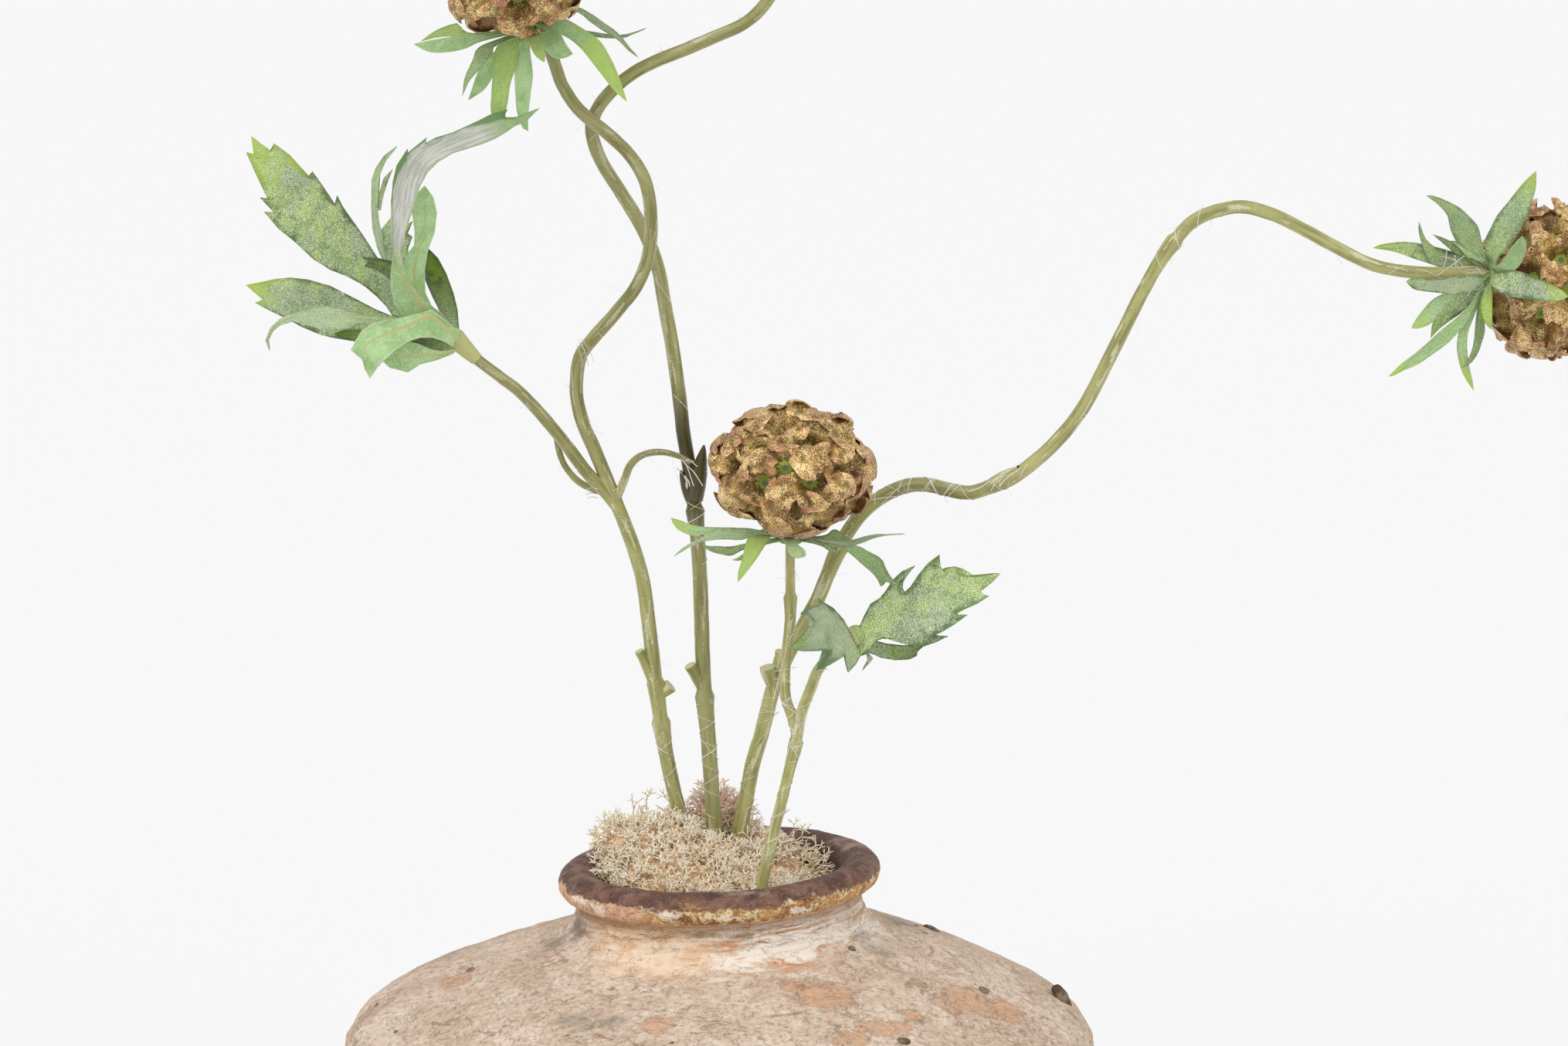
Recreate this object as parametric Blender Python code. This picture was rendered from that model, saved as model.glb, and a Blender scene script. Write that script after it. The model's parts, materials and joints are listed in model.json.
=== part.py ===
"""Scabiosa stems with leaves and ruffled heads, in moss in the narrow mouth of an aged clay pot.

Sizes and places are in millimetres, and every mesh is made in metres. Heights in the tables are
measured from the plane of the pot's mouth, and the pot's flat base stands on the ground plane.
The front of the arrangement faces -Y.
"""
import math
import random

import bmesh
import bpy
from mathutils import Matrix, Vector, noise

MM = 0.001
UP = Vector((0, 0, 1))
FRONT = Vector((0, -1, 0))
GAP = 0.3             # clearance between neighbouring pieces
HOLE_GAP = 0.4        # clearance round a stem, measured at the corners of its faceted section

# Pot
POT_HEIGHT = 220.0
POT_SIDES = 32
POT_FLOOR = 8.0
LIP_RADIUS, LIP_DROP = 47.7, 5.5                   # middle of the rolled lip's section
LIP_HALF_WIDTH, LIP_HALF_HEIGHT = 6.7, 5.5
LIP_TILT = math.radians(2.5)                       # the mouth leans down to the left
LEAN_START, LEAN_FULL = -45.0, -12.0               # heights between which the shoulder takes up that lean
POT_OUTSIDE = [(73, -220), (85, -196), (99, -168), (113, -134), (124, -100), (128, -76), (126.6, -62),
               (121.5, -54.5), (112, -48.5), (90, -38), (70, -30.3), (54, -24), (48.8, -17.5), (48.2, -12.2)]
POT_INSIDE = [(41.3, -14), (42.5, -22), (66, -37), (90, -47.5), (114, -61), (121, -76), (117, -100),
              (92, -168), (64, -212)]
POT_LUMPS = [((116, 8, -49), (5, 6.5, 4.5)), ((72, 24, -30.5), (4, 3.5, 2.2)), ((112, -34, -51), (4, 4, 2.8))]

# Foam and moss
FOAM_RADIUS, FOAM_TOP = 39.0, -16.0
MOSS_RADIUS, MOSS_EDGE = 39.6, -4.0
MOSS_ROUGHNESS, MOSS_GRAIN = 1.6, 0.21
MOSS_MOUNDS = [(-20, 14, 17, 15.5), (-4, -12, 17, 7.5), (14, 22, 11, 8), (-26, -16, 9, 3), (37, -3, 8, -8),
               (-38, -10, 6, -6)]
MOSS_SPRIGS = 20
STEM_CLEARANCE, LIP_CLEARANCE = 6.5, 36.5          # sprigs keep this far from a stem, and inside this radius
PINK_CENTRE, PINK_HALF = Vector((1, 29, 6)), Vector((12, 7.5, 10.5))
PINK_SPRIGS = 7

# Flower heads and bracts
HEAD_RADIUS, HEAD_FLATTEN = 28.8, 0.9
HEAD_CORE = 16.5
FLORETS, FLORET_SIDES = 21, 7
FLORET_EDGE = 1.0                                  # thickness of a floret's rim
FLORET_ROOT, FLORET_BOWL, FLORET_HEART = 0.42, 0.83, 0.76      # shares of the head's radius
FLORET_CREST, FLORET_DIP = 0.985, 0.915            # the rim rises and falls between these
BORDER_ANGLE = 0.014                               # half the gap between two florets, in radians
BARE_ANGLE = math.radians(36)                      # no floret this close to the stem
CALYX_RADIUS, CALYX_DROP = 4.6, 21.5
COLLAR_RADIUS, COLLAR_HEIGHT, COLLAR_DROP = 5.2, 2.4, 23.0
BRACT_THICKNESS = 0.8
BRACT_SAG = 1.2                                    # a bract dips this much before it bends to its tip
PEG_RADIUS, PEG_LENGTH = 1.2, 12.0
LEAF_THICKNESS = 0.8
LEAF_PEG_RADIUS, LEAF_PEG_LENGTH = 1.1, 6.0
HUB_RADIUS = 3.8

# Stems: a smooth route from the foot in the foam to the tip, with the radius at both ends
STEM_STEP, STEM_SIDES, TWIG_SIDES = 12.5, 8, 6
BURIED = 24.0                                      # height below which a stem needs a hole
RING_HALF = 1.6                                    # half the length of a joint's ring
STEMS = {
    "stem_left": {
        "route": [(-12, 20, -78), (-12, 20, -45), (-12, 20, -18), (-12.7, 20, 0), (-14, 20, 12),
                  (-16, 20, 21), (-18.6, 19, 34.5), (-20.6, 18, 49), (-22.4, 17, 64), (-24.1, 16, 80),
                  (-25.9, 16, 93), (-29.3, 15, 106), (-34.2, 15, 119), (-41.6, 13, 138), (-46, 11, 149),
                  (-47.9, 10, 160), (-46.6, 9, 171), (-42.3, 8, 177.5), (-34.5, 8, 186.5), (-27.2, 8, 196),
                  (-23.3, 8, 206.7), (-22.5, 7, 218.5), (-24.2, 6, 231), (-29.6, 5, 240.5), (-37.2, 4, 248),
                  (-46.2, 3, 255.7), (-51.7, 2.5, 264)],
        "radii": (2.7, 2.1), "head": "left",
        "branches": [
            ([(-34.2, 15, 119), (-40, 14, 126), (-45.3, 13, 132), (-54.6, 11, 145), (-65.6, 8, 158.3),
              (-73.3, 6, 165), (-80.4, 4.2, 170.8)], (2.1, 1.9)),
            ([(-35, 15, 121), (-32, 12, 129.6), (-29.6, 10, 135.3), (-25.3, 8, 139.3), (-19.3, 7, 140.6),
              (-13.1, 6, 139.2), (-9.4, 6, 136.6)], (1.4, 0.9)),
            ([(-36.3, 15.5, 123.5), (-44.1, 18, 125.1), (-48.8, 19, 127.9), (-52.5, 19, 132.9),
              (-54.3, 18.5, 138.2), (-55.5, 17, 144.5)], (1.2, 0.9))],
        "stubs": [((-22.5, 17, 59), (-27.3, 15, 69.2), 2.0, 1.5),
                  ((-20.5, 18, 53), (-16.4, 17.5, 56.5), 2.0, 2.3)],
        "rings": [(-19.8, 18.4, 43.4), (-21.6, 17.5, 57)],
    },
    "stem_tall": {
        "route": [(-1.2, 12, -78), (-1.2, 12, -45), (-1.3, 12, -18), (-1.6, 12, 0), (-1.9, 12, 8),
                  (-2.7, 12, 23), (-3.5, 13, 36), (-5, 14, 54), (-5.8, 15, 74), (-6.5, 16, 96),
                  (-7.8, 17, 114), (-9.9, 18, 131), (-12, 19, 143.7), (-13.8, 20, 159.5), (-16.1, 21, 175),
                  (-18.4, 22, 187.7), (-20.7, 22, 200.4), (-25.6, 22, 213), (-33.1, 21, 225.8),
                  (-39.5, 20, 236.4), (-42.6, 20, 245.8), (-41.5, 19, 252.2), (-37.3, 19, 258.5),
                  (-29.7, 18, 265.4), (-21.2, 17, 270.2), (-9.8, 16, 275), (0.1, 15, 279.3), (8.9, 14, 283.5),
                  (15.1, 12, 289.5), (20.8, 10, 298), (28.5, 8, 309), (34.9, 6, 320.6), (37, 4, 328)],
        "radii": (2.9, 2.0), "head": "tall",
        "branches": [],
        "stubs": [((-9.5, 18, 130), (-5.2, 16, 139.5), 2.0, 1.1),
                  ((-9.8, 18, 130.5), (-14.2, 16.5, 134.8), 1.8, 1.5),
                  ((-5.2, 14, 56), (-10, 11, 65), 2.0, 1.8)],
        "rings": [(-8.3, 17.2, 118), (-5, 14, 54)],
    },
    "stem_right": {
        "route": [(3.4, 19, -78), (3.4, 19, -45), (3.8, 19, -18), (5.2, 18, -2), (6.6, 17, 6),
                  (9, 16, 17), (11.2, 15.5, 29), (14.4, 15, 40.2), (17.3, 16, 52), (20.2, 16, 61),
                  (24.7, 17, 70), (29.1, 18, 78), (33.9, 19, 87.2), (38.6, 20, 98.8), (43.5, 20, 108.9),
                  (50.1, 20, 117.5), (59.2, 19, 123.8), (69.1, 18, 126.1), (83.2, 16, 123.6), (91.3, 15, 125.6),
                  (99.1, 14, 129), (108.9, 12, 137), (116.6, 10, 145.3), (123.2, 8, 155), (128.2, 6, 165),
                  (132.7, 4, 174.8), (137.3, 3, 184.4), (141.3, 2, 193), (146.8, 1, 203.6), (152.4, 0, 212),
                  (160, 0, 219.6), (172.9, 0, 223.6), (184.6, 2, 221), (196.5, 4, 215), (207, 7, 209),
                  (220, 11, 202.3), (234, 15, 199.2), (249, 18, 198.6)],
        "radii": (2.8, 2.1), "head": "right",
        "branches": [],
        "stubs": [((15.5, 15.5, 57), (16.3, 12, 63.8), 2.2, 2.4), ((19.5, 16, 62), (20.7, 13, 69.4), 1.9, 1.5),
                  ((91.3, 15, 126), (100.8, 13.5, 132.8), 1.7, 1.0)],
        "rings": [(41, 20, 104), (152.4, 0, 212)],
    },
    "stem_front": {
        "route": [(13, -27, -70), (13, -27, -45), (13.2, -28, -18), (14.8, -29, -1), (17.4, -29, 10),
                  (19.2, -28, 18.4), (21.8, -28, 29), (24.1, -27, 38.4), (26.2, -26.5, 48), (24.8, -26, 55),
                  (22.6, -25, 62), (22.6, -24, 73), (23.8, -22, 85), (24.2, -20.5, 88)],
        "radii": (2.2, 1.6), "head": "front",
        "branches": [([(26.2, -26.5, 48), (28, -27, 57), (31.1, -28, 65.6), (33.6, -29, 72), (38, -29, 77.5)],
                      (1.8, 1.7))],
        "stubs": [],
        "rings": [(26, -26.5, 46.5), (23.3, -22.8, 80)],
    },
}

# Heads: middle of the bract collar, and the way that the flower faces
HEADS = {
    "left": ((-58.6, 1, 284), (-0.30, -0.25, 0.92)),
    "front": ((24.2, -19, 115), (0.03, 0.02, 1)),
    "right": ((260.5, 22, 198), (0.9, 0.4, -0.17)),
    "tall": ((38.8, 1.5, 336.5), (0.18, -0.2, 0.96)),
}
# Bract tips from the collar's middle, with each bract's full width
BRACTS = {
    "left": [((-43, 9, -7), 6.5), ((-40, -14, -6), 6.5), ((-26, -17, -20), 7.0), ((-25, 14, -26), 6.5),
             ((-15, -20, -30), 7.5), ((-5, -15, -33), 6.5), ((1.5, -24, -9), 6.5), ((11, -14, -9), 7.5),
             ((28.3, -7, -24), 7.5), ((32, 9, -12), 6.0), ((30, 24, -5), 6.0), ((2, 30, -10), 6.0)],
    "front": [((-40, 9, 3), 6.5), ((-39, -6, -6), 5.5), ((-28, 23, -7), 6.0), ((-19, -15, -6), 6.5),
              ((-17.5, -21, -12), 7.0), ((5, -25, -3), 7.0), ((38, 17, -3), 5.5), ((36.5, 4, -15), 6.5),
              ((20, -14, -6), 6.5), ((15, 32, -7), 6.0), ((-10, 31, -5), 6.0)],
    "right": [((14.8, 0, 34.5), 7.5), ((-23.5, -14, 28.7), 7.0), ((-23.8, 10, 16.3), 5.5),
              ((-40, -12, 10.6), 7.0), ((-29, -22, -3), 7.5), ((-27, -18, -16.3), 7.0),
              ((-19, 10, -22.8), 6.5), ((-33.5, -6, -34.5), 7.0), ((-8.6, 8, -33), 6.5),
              ((-5.7, -10, -38), 6.5), ((7, -25, 12), 6.5), ((20, -27, -5), 7.5), ((-12, 30, 6), 6.0)],
    "tall": [((30 * math.cos(turn), 30 * math.sin(turn), -7 - 6 * math.cos(3 * turn)), 6.5)
             for turn in [math.radians(33 * number) for number in range(11)]],
}

# Leaves: route of the rib, and (share of the rib's length, left width, right width) along it
SPRAYS = {
    "leaf_spray_left": {
        "neck": [(-81.2, 4.1, 171.4), (-84.5, 3.3, 174.8), (-88.5, 2.5, 179)], "neck_radii": (2.5, 3.3),
        "leaves": [
            ([(-87.5, 3, 178), (-99.9, 8, 181.3), (-110.4, 10, 188.8), (-123.2, 10, 203.3), (-137.1, 8, 222),
              (-155.8, 4, 246.6)],
             [(0, 1.6, 1.6), (0.18, 2, 2.4), (0.34, 2.5, 7.8), (0.47, 6.6, 8.5), (0.57, 8.8, 7.2),
              (0.66, 10.2, 10.3), (0.72, 9.2, 6), (0.78, 11.7, 8.6), (0.84, 7, 4.8), (0.92, 3.6, 4.8),
              (0.955, 5, 2.6), (1, 0, 0)]),
            ([(-87.5, 3, 177.5), (-99.8, 5, 180.3), (-110.2, 5, 184), (-126.8, 3, 188.5), (-142.2, 1, 193),
              (-158.3, -1, 197.2)],
             [(0, 1.6, 1.6), (0.22, 2, 1.2), (0.42, 9, 3), (0.62, 11.2, 5.6), (0.78, 8.4, 6.2),
              (0.88, 4.4, 4.2), (0.93, 5.2, 3), (1, 0, 0)]),
            ([(-87, 0, 178.5), (-97, -4, 184.5), (-109.5, -8, 189.8), (-120.8, -11, 192.5),
              (-133.5, -13, 192.8), (-143.9, -12, 189.7), (-148.7, -10, 183), (-150, -8, 176.5)],
             [(0, 1.4, 1.4), (0.35, 2.2, 2.2), (0.62, 2, 2), (0.8, 1.7, 1.7), (0.9, 1.3, 1.3), (1, 0, 0)]),
            ([(-87.5, 0, 179), (-96.6, -4, 188), (-103.1, -6, 197.6), (-106.8, -7, 208), (-108.4, -7, 219),
              (-107.3, -6, 230), (-102.6, -5, 240), (-92.4, -3, 246.7), (-79.6, 0, 251.6), (-61, 3, 256.2)],
             [(0, 1.8, 2), (0.12, 3, 3.8), (0.24, 2, 4), (0.36, 1.4, 5.2), (0.48, 3, 6.2), (0.57, 2.2, 7.4),
              (0.68, 1.6, 5.6), (0.76, 3.6, 4.8), (0.87, 2, 4.8), (1, 0, 0)]),
            ([(-87.5, 4, 179), (-96.7, 1, 189), (-99.5, 1, 198), (-100.3, 1, 207), (-97.6, 1, 217),
              (-96.4, 0, 224), (-98.4, -1, 230.3)],
             [(0, 1.5, 1.5), (0.3, 3.4, 3), (0.5, 3.8, 2.6), (0.74, 5, 2.8), (0.87, 5.4, 2.6), (1, 0, 0)]),
            ([(-88, -1, 178.5), (-96.2, -8, 186.5), (-102.8, -12, 185.8), (-111.6, -16, 184),
              (-118, -18, 179.5), (-116.8, -17, 169.2)],
             [(0, 1.8, 1.8), (0.3, 4.8, 2.6), (0.55, 5.6, 3.4), (0.78, 6.6, 4.4), (0.86, 4, 2.4), (1, 0, 0)]),
            ([(-88, 1, 176.5), (-95.4, -4, 172.9), (-103.1, -7, 170.6), (-111, -8, 171.5)],
             [(0, 1.6, 1.6), (0.3, 2.5, 4.6), (0.6, 2.6, 5.4), (0.85, 2, 3), (1, 0, 0)]),
            ([(-87, 6, 178.5), (-87.8, 12, 187.2), (-91, 15, 197.4), (-96.5, 15, 207)],
             [(0, 1.6, 1.6), (0.35, 4.8, 2), (0.62, 6.2, 2), (0.85, 5, 1), (1, 0, 0)]),
            ([(-88.5, 5, 179), (-97.5, 11, 188), (-105, 14, 197), (-111, 14, 208), (-115, 13, 217),
              (-115.6, 12, 227), (-113.4, 11, 236.5), (-107.4, 10, 243.7)],
             [(0, 1.3, 1.3), (0.3, 1.8, 1.8), (0.6, 1.5, 1.7), (0.85, 1.6, 2.6), (1, 0, 0)]),
        ],
    },
    "leaf_spray_right": {
        "neck": [(38.7, -29, 78.1), (42, -28.6, 80.8), (46, -28.2, 83.6)], "neck_radii": (2.4, 3.4),
        "leaves": [
            ([(45, -28.5, 83), (52.9, -29.5, 88.2), (61.9, -31, 93.6), (73.5, -31, 98.9), (83.8, -30, 102.1),
              (94.4, -27, 104.3)],
             [(0, 1.8, 1.8), (0.12, 4, 4.6), (0.24, 6.4, 9.5), (0.34, 8.6, 12.6), (0.40, 4.4, 10.8),
              (0.53, 11.6, 14.6), (0.60, 5.2, 9), (0.69, 12, 10.4), (0.76, 3.6, 5.2), (0.88, 3, 6.3),
              (0.92, 1.4, 2), (1, 0, 0)]),
            ([(45, -28, 82.5), (51.7, -24, 77.5), (59.6, -19, 74.5), (68, -15, 75.5)],
             [(0, 1.5, 1.5), (0.3, 2.4, 2.6), (0.6, 2.8, 3), (0.85, 1.8, 1.4), (1, 0, 0)]),
            ([(44.5, -28.5, 83), (40.6, -33, 86), (34.5, -38, 87.6), (28.7, -42, 85.8), (23.8, -44, 79.5)],
             [(0, 1.8, 2.2), (0.13, 9.5, 3), (0.25, 6, 5), (0.42, 12.5, 6.5), (0.54, 7, 9), (0.62, 5.5, 5.5),
              (0.75, 5, 7), (0.86, 2.5, 3), (1, 0, 0)]),
        ],
    },
}
LEAF_FOLD = 0.16       # how far the rib lies behind the edges, as a share of the width

COLOURS = {
    "pot": (0.52, 0.38, 0.28, 0.9), "foam_core": (0.28, 0.3, 0.2, 1.0), "moss_cream": (0.75, 0.58, 0.36, 0.95),
    "moss_pink": (0.6, 0.42, 0.36, 0.95), "stem": (0.31, 0.32, 0.1, 0.4), "head": (0.48, 0.32, 0.12, 0.5),
    "bracts": (0.24, 0.38, 0.15, 0.7), "leaf_spray": (0.26, 0.42, 0.14, 0.7),
}


def lifted(point):
    """Moves a table point, measured from the mouth, to its place above the ground."""
    return Vector(point) + UP * POT_HEIGHT


def clear_scene():
    for thing in list(bpy.data.objects):
        bpy.data.objects.remove(thing, do_unlink=True)


def solid(name, points, faces):
    """Makes a closed mesh object, in metres, from points in millimetres."""
    mesh = bpy.data.meshes.new(name)
    mesh.from_pydata([Vector(point) * MM for point in points], [], faces)
    work = bmesh.new()
    work.from_mesh(mesh)
    bmesh.ops.recalc_face_normals(work, faces=work.faces)
    work.to_mesh(mesh)
    work.free()
    made = bpy.data.objects.new(name, mesh)
    bpy.context.scene.collection.objects.link(made)
    return made


def finish(made, sharp_degrees):
    """Gives a piece its shading and its own material."""
    kind = made.name if made.name in COLOURS else next(key for key in COLOURS if made.name.startswith(key))
    red, green, blue, roughness = COLOURS[kind]
    material = bpy.data.materials.new(made.name)
    material.use_nodes = True
    surface = material.node_tree.nodes["Principled BSDF"]
    surface.inputs["Base Color"].default_value = (red, green, blue, 1)
    surface.inputs["Roughness"].default_value = roughness
    surface.inputs["Metallic"].default_value = 0
    made.data.materials.clear()
    made.data.materials.append(material)
    made.data.shade_smooth()
    made.data.set_sharp_from_angle(angle=math.radians(sharp_degrees))


def ring_faces(rings, closed_ends=True):
    """Faces between rings of point numbers, where a ring of one number is a pole."""
    faces = []
    for near, far in zip(rings, rings[1:]):
        count = max(len(near), len(far))
        for index in range(count):
            after = (index + 1) % count
            if len(near) == 1:
                faces.append((near[0], far[after], far[index]))
            elif len(far) == 1:
                faces.append((near[index], near[after], far[0]))
            else:
                faces.append((near[index], near[after], far[after], far[index]))
    if closed_ends:
        faces += [tuple(end) for end in (rings[0], rings[-1]) if len(end) > 2]
    return faces


def ring_solid(name, rings):
    """Makes a solid from rings of points, one after another."""
    points, numbers = [], []
    for ring in rings:
        numbers.append(list(range(len(points), len(points) + len(ring))))
        points += ring
    return solid(name, points, ring_faces(numbers))


def combine(target, others, operation, solver="EXACT"):
    """Joins or cuts a piece with others through one Boolean on a collection, applied."""
    group = bpy.data.collections.new(target.name + "_others")
    bpy.context.scene.collection.children.link(group)
    for other in others:
        bpy.context.scene.collection.objects.unlink(other)
        group.objects.link(other)
    step = target.modifiers.new("combine", "BOOLEAN")
    step.operation = operation
    step.operand_type = "COLLECTION"
    step.collection = group
    step.solver = solver
    shape = bpy.data.meshes.new_from_object(target.evaluated_get(bpy.context.evaluated_depsgraph_get()))
    target.modifiers.remove(step)
    target.data = shape
    for other in others:
        bpy.data.objects.remove(other, do_unlink=True)
    bpy.data.collections.remove(group)


def keep_largest(made):
    """Drops every loose scrap that a cut has left."""
    work = bmesh.new()
    work.from_mesh(made.data)
    left, islands = set(work.verts), []
    while left:
        island, front = set(), [left.pop()]
        while front:
            vertex = front.pop()
            island.add(vertex)
            near = {edge.other_vert(vertex) for edge in vertex.link_edges} & left
            left -= near
            front += near
        islands.append(island)
    largest = max(islands, key=len)
    bmesh.ops.delete(work, geom=[vertex for vertex in work.verts if vertex not in largest], context="VERTS")
    work.to_mesh(made.data)
    work.free()


def smooth_path(route, step):
    """Even points along a smooth curve through the route."""
    knots = [Vector(point) for point in route]
    knots = [knots[0] * 2 - knots[1]] + knots + [knots[-1] * 2 - knots[-2]]
    dense = []
    for a, b, c, d in zip(knots, knots[1:], knots[2:], knots[3:]):
        for share in [number / 12 for number in range(12)]:
            dense.append(0.5 * (2 * b + (c - a) * share + (2 * a - 5 * b + 4 * c - d) * share ** 2
                                + (3 * b - a - 3 * c + d) * share ** 3))
    dense.append(knots[-2])
    length = sum((far - near).length for near, far in zip(dense, dense[1:]))
    count = max(2, round(length / step))
    path, walked = [dense[0]], 0.0
    for near, far in zip(dense, dense[1:]):
        stretch = (far - near).length
        while len(path) < count and walked + stretch >= len(path) * length / count:
            path.append(near.lerp(far, (len(path) * length / count - walked) / stretch))
        walked += stretch
    return path + [dense[-1]]


def along(path):
    """The direction of a path at each of its points."""
    ends = [path[0]] + path + [path[-1]]
    return [(after - before).normalized() for before, after in zip(ends, ends[2:])]


def tube(name, path, radii, sides):
    """A round bar along a path, with a frame that doesn't twist and a radius that changes evenly."""
    side = Vector((1, 0, 0))
    rings = []
    for index, (centre, forward) in enumerate(zip(path, along(path))):
        side = (side - forward * side.dot(forward)).normalized()
        across = forward.cross(side)
        radius = radii[0] + (radii[1] - radii[0]) * index / (len(path) - 1)
        rings.append([centre + radius * (side * math.cos(turn) + across * math.sin(turn))
                      for turn in [math.tau * number / sides for number in range(sides)]])
    return ring_solid(name, rings)


def ball(name, centre, half, subdivisions):
    """A rounded lump of flat faces."""
    work = bmesh.new()
    bmesh.ops.create_icosphere(work, subdivisions=subdivisions, radius=1)
    points = [Vector([c + h * x for c, h, x in zip(centre, half, vertex.co)]) for vertex in work.verts]
    faces = [[vertex.index for vertex in face.verts] for face in work.faces]
    work.free()
    return solid(name, points, faces)


def lean(point):
    """Leans the top of the pot: nothing below the shoulder, the full tilt at the lip."""
    share = min(1.0, max(0.0, (point.z - POT_HEIGHT - LEAN_START) / (LEAN_FULL - LEAN_START)))
    return point + UP * (point.x * math.tan(LIP_TILT) * share)


def build_pot():
    lip = [(LIP_RADIUS + LIP_HALF_WIDTH * math.cos(math.radians(turn)),
            LIP_HALF_HEIGHT * math.sin(math.radians(turn)) - LIP_DROP)
           for turn in (-55, -15, 25, 65, 105, 145, 185)]
    rings = [[Vector((0, 0, 0))]]
    for radius, height in POT_OUTSIDE + lip + POT_INSIDE:
        ring = []
        for turn in [math.tau * number / POT_SIDES for number in range(POT_SIDES)]:
            uneven = radius * (1 + 0.006 * math.sin(2 * turn + 1) + 0.003 * math.sin(3 * turn))
            ring.append(lean(lifted((uneven * math.cos(turn), uneven * math.sin(turn), height))))
        rings.append(ring)
    rings.append([Vector((0, 0, POT_FLOOR))])
    pot = ring_solid("pot", rings)
    lumps = [ball("lump", lifted(centre), half, 1) for centre, half in POT_LUMPS]
    combine(pot, lumps, "UNION")
    finish(pot, 40)


def stem_path(name):
    return [lifted(point) for point in smooth_path(STEMS[name]["route"], STEM_STEP)]


def stem_holes():
    """Cutters for the part of each stem that stands in the foam and the moss."""
    cutters = []
    for name, stem in STEMS.items():
        path = [point for point in stem_path(name) if point.z < POT_HEIGHT + BURIED]
        path[0] = path[0] - UP * HOLE_GAP
        thickness = stem["radii"][0] + HOLE_GAP
        cutters.append(tube("hole", path, (thickness, thickness), STEM_SIDES))
    return cutters


def build_foam():
    rings = [[lifted((FOAM_RADIUS * math.cos(turn), FOAM_RADIUS * math.sin(turn), height))
              for turn in [math.tau * number / 24 for number in range(24)]]
             for height in (POT_FLOOR + GAP - POT_HEIGHT, FOAM_TOP)]
    foam = ring_solid("foam_core", rings)
    combine(foam, stem_holes(), "DIFFERENCE")
    finish(foam, 40)


def moss_height(x, y):
    """Height of the moss above the mouth, a few mounds and a fine roughness."""
    height = MOSS_EDGE + sum(tall * math.exp(-((x - mx) ** 2 + (y - my) ** 2) / (2 * spread ** 2))
                             for mx, my, spread, tall in MOSS_MOUNDS)
    return height + MOSS_ROUGHNESS * noise.noise(Vector((x, y, 0)) * MOSS_GRAIN)


def sprig(base, away, length, draw):
    """A forked twig of moss: a bent main twig and a side prong, three-sided."""
    away = away.normalized()
    bend = Vector([draw.uniform(-0.5, 0.5) for _ in range(3)])
    middle = base + away * length * 0.5
    tip = base + (away + bend * 0.8).normalized() * length
    prong = middle + (away - bend * 1.4).normalized() * length * 0.55
    start = base - away * 3.0
    return [tube("sprig", [start, middle, tip], (1.1, 0.55), 3),
            tube("sprig", [middle - away * 1.2, prong], (0.85, 0.5), 3)]


def sprigs(count, spot, draw):
    """Sprigs at spots that a rule gives, kept clear of the stems and of the pot's lip."""
    feet = [path[3] for path in map(stem_path, STEMS)]
    made = []
    while len(made) < 2 * count:
        base, away, length = spot(draw)
        tip = base + away.normalized() * length
        near_stem = any(Vector((tip.x - foot.x, tip.y - foot.y)).length < STEM_CLEARANCE for foot in feet)
        reach = math.hypot(tip.x, tip.y)
        in_lip = reach > LIP_CLEARANCE and tip.z < POT_HEIGHT + LIP_HALF_HEIGHT
        if near_stem or in_lip or math.hypot(base.x, base.y) > LIP_CLEARANCE:
            continue
        made += sprig(base, away, length, draw)
    return made


def cream_spot(draw):
    turn, reach = draw.uniform(0, math.tau), MOSS_RADIUS * math.sqrt(draw.uniform(0, 0.9))
    x, y = reach * math.cos(turn), reach * math.sin(turn)
    away = Vector((x * 0.03 + draw.uniform(-0.5, 0.5), y * 0.03 + draw.uniform(-0.5, 0.5), 1))
    if (Vector((x, y, 0)) - Vector((PINK_CENTRE.x, PINK_CENTRE.y, 0))).length < 15:
        away.y -= 1.2
        x, y = x * 0.8, y * 0.55
    return lifted((x, y, moss_height(x, y))), away, draw.uniform(5, 9)


def pink_spot(draw):
    turn, rise = draw.uniform(0, math.tau), draw.uniform(0.35, 1)
    around = math.sqrt(1 - rise ** 2)
    direction = Vector((around * math.cos(turn), around * math.sin(turn), rise))
    shell = Vector([c + h * d * 0.92 for c, h, d in zip(PINK_CENTRE, PINK_HALF, direction)])
    return lifted(shell), direction + UP * 0.4, draw.uniform(3.5, 6)


def build_moss():
    draw = random.Random(5)
    rings = [[lifted((0, 0, FOAM_TOP + GAP))]]
    turns = [math.tau * number / 18 for number in range(18)]
    rings.append([lifted((MOSS_RADIUS * math.cos(turn), MOSS_RADIUS * math.sin(turn), FOAM_TOP + GAP))
                  for turn in turns])
    for radius in (MOSS_RADIUS, 36, 30, 23, 15.5, 8):
        rings.append([lifted((radius * math.cos(turn), radius * math.sin(turn),
                              moss_height(radius * math.cos(turn), radius * math.sin(turn)))) for turn in turns])
    rings.append([lifted((0, 0, moss_height(0, 0)))])
    moss = ring_solid("moss_cream", rings)
    combine(moss, sprigs(MOSS_SPRIGS, cream_spot, draw), "UNION", "MANIFOLD")
    seat = ball("seat", lifted(PINK_CENTRE), PINK_HALF + Vector((1, 1, 1)) * HOLE_GAP, 2)
    combine(moss, stem_holes() + [seat], "DIFFERENCE", "MANIFOLD")
    keep_largest(moss)
    finish(moss, 30)
    tuft = ball("moss_pink", lifted(PINK_CENTRE), PINK_HALF, 2)
    combine(tuft, sprigs(PINK_SPRIGS, pink_spot, draw), "UNION", "MANIFOLD")
    keep_largest(tuft)
    finish(tuft, 30)


def head_frame(name):
    """Middle of a head's collar and the unit vector along its stem, towards the flower."""
    place, axis = HEADS[name]
    return lifted(place), Vector(axis).normalized()


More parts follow.
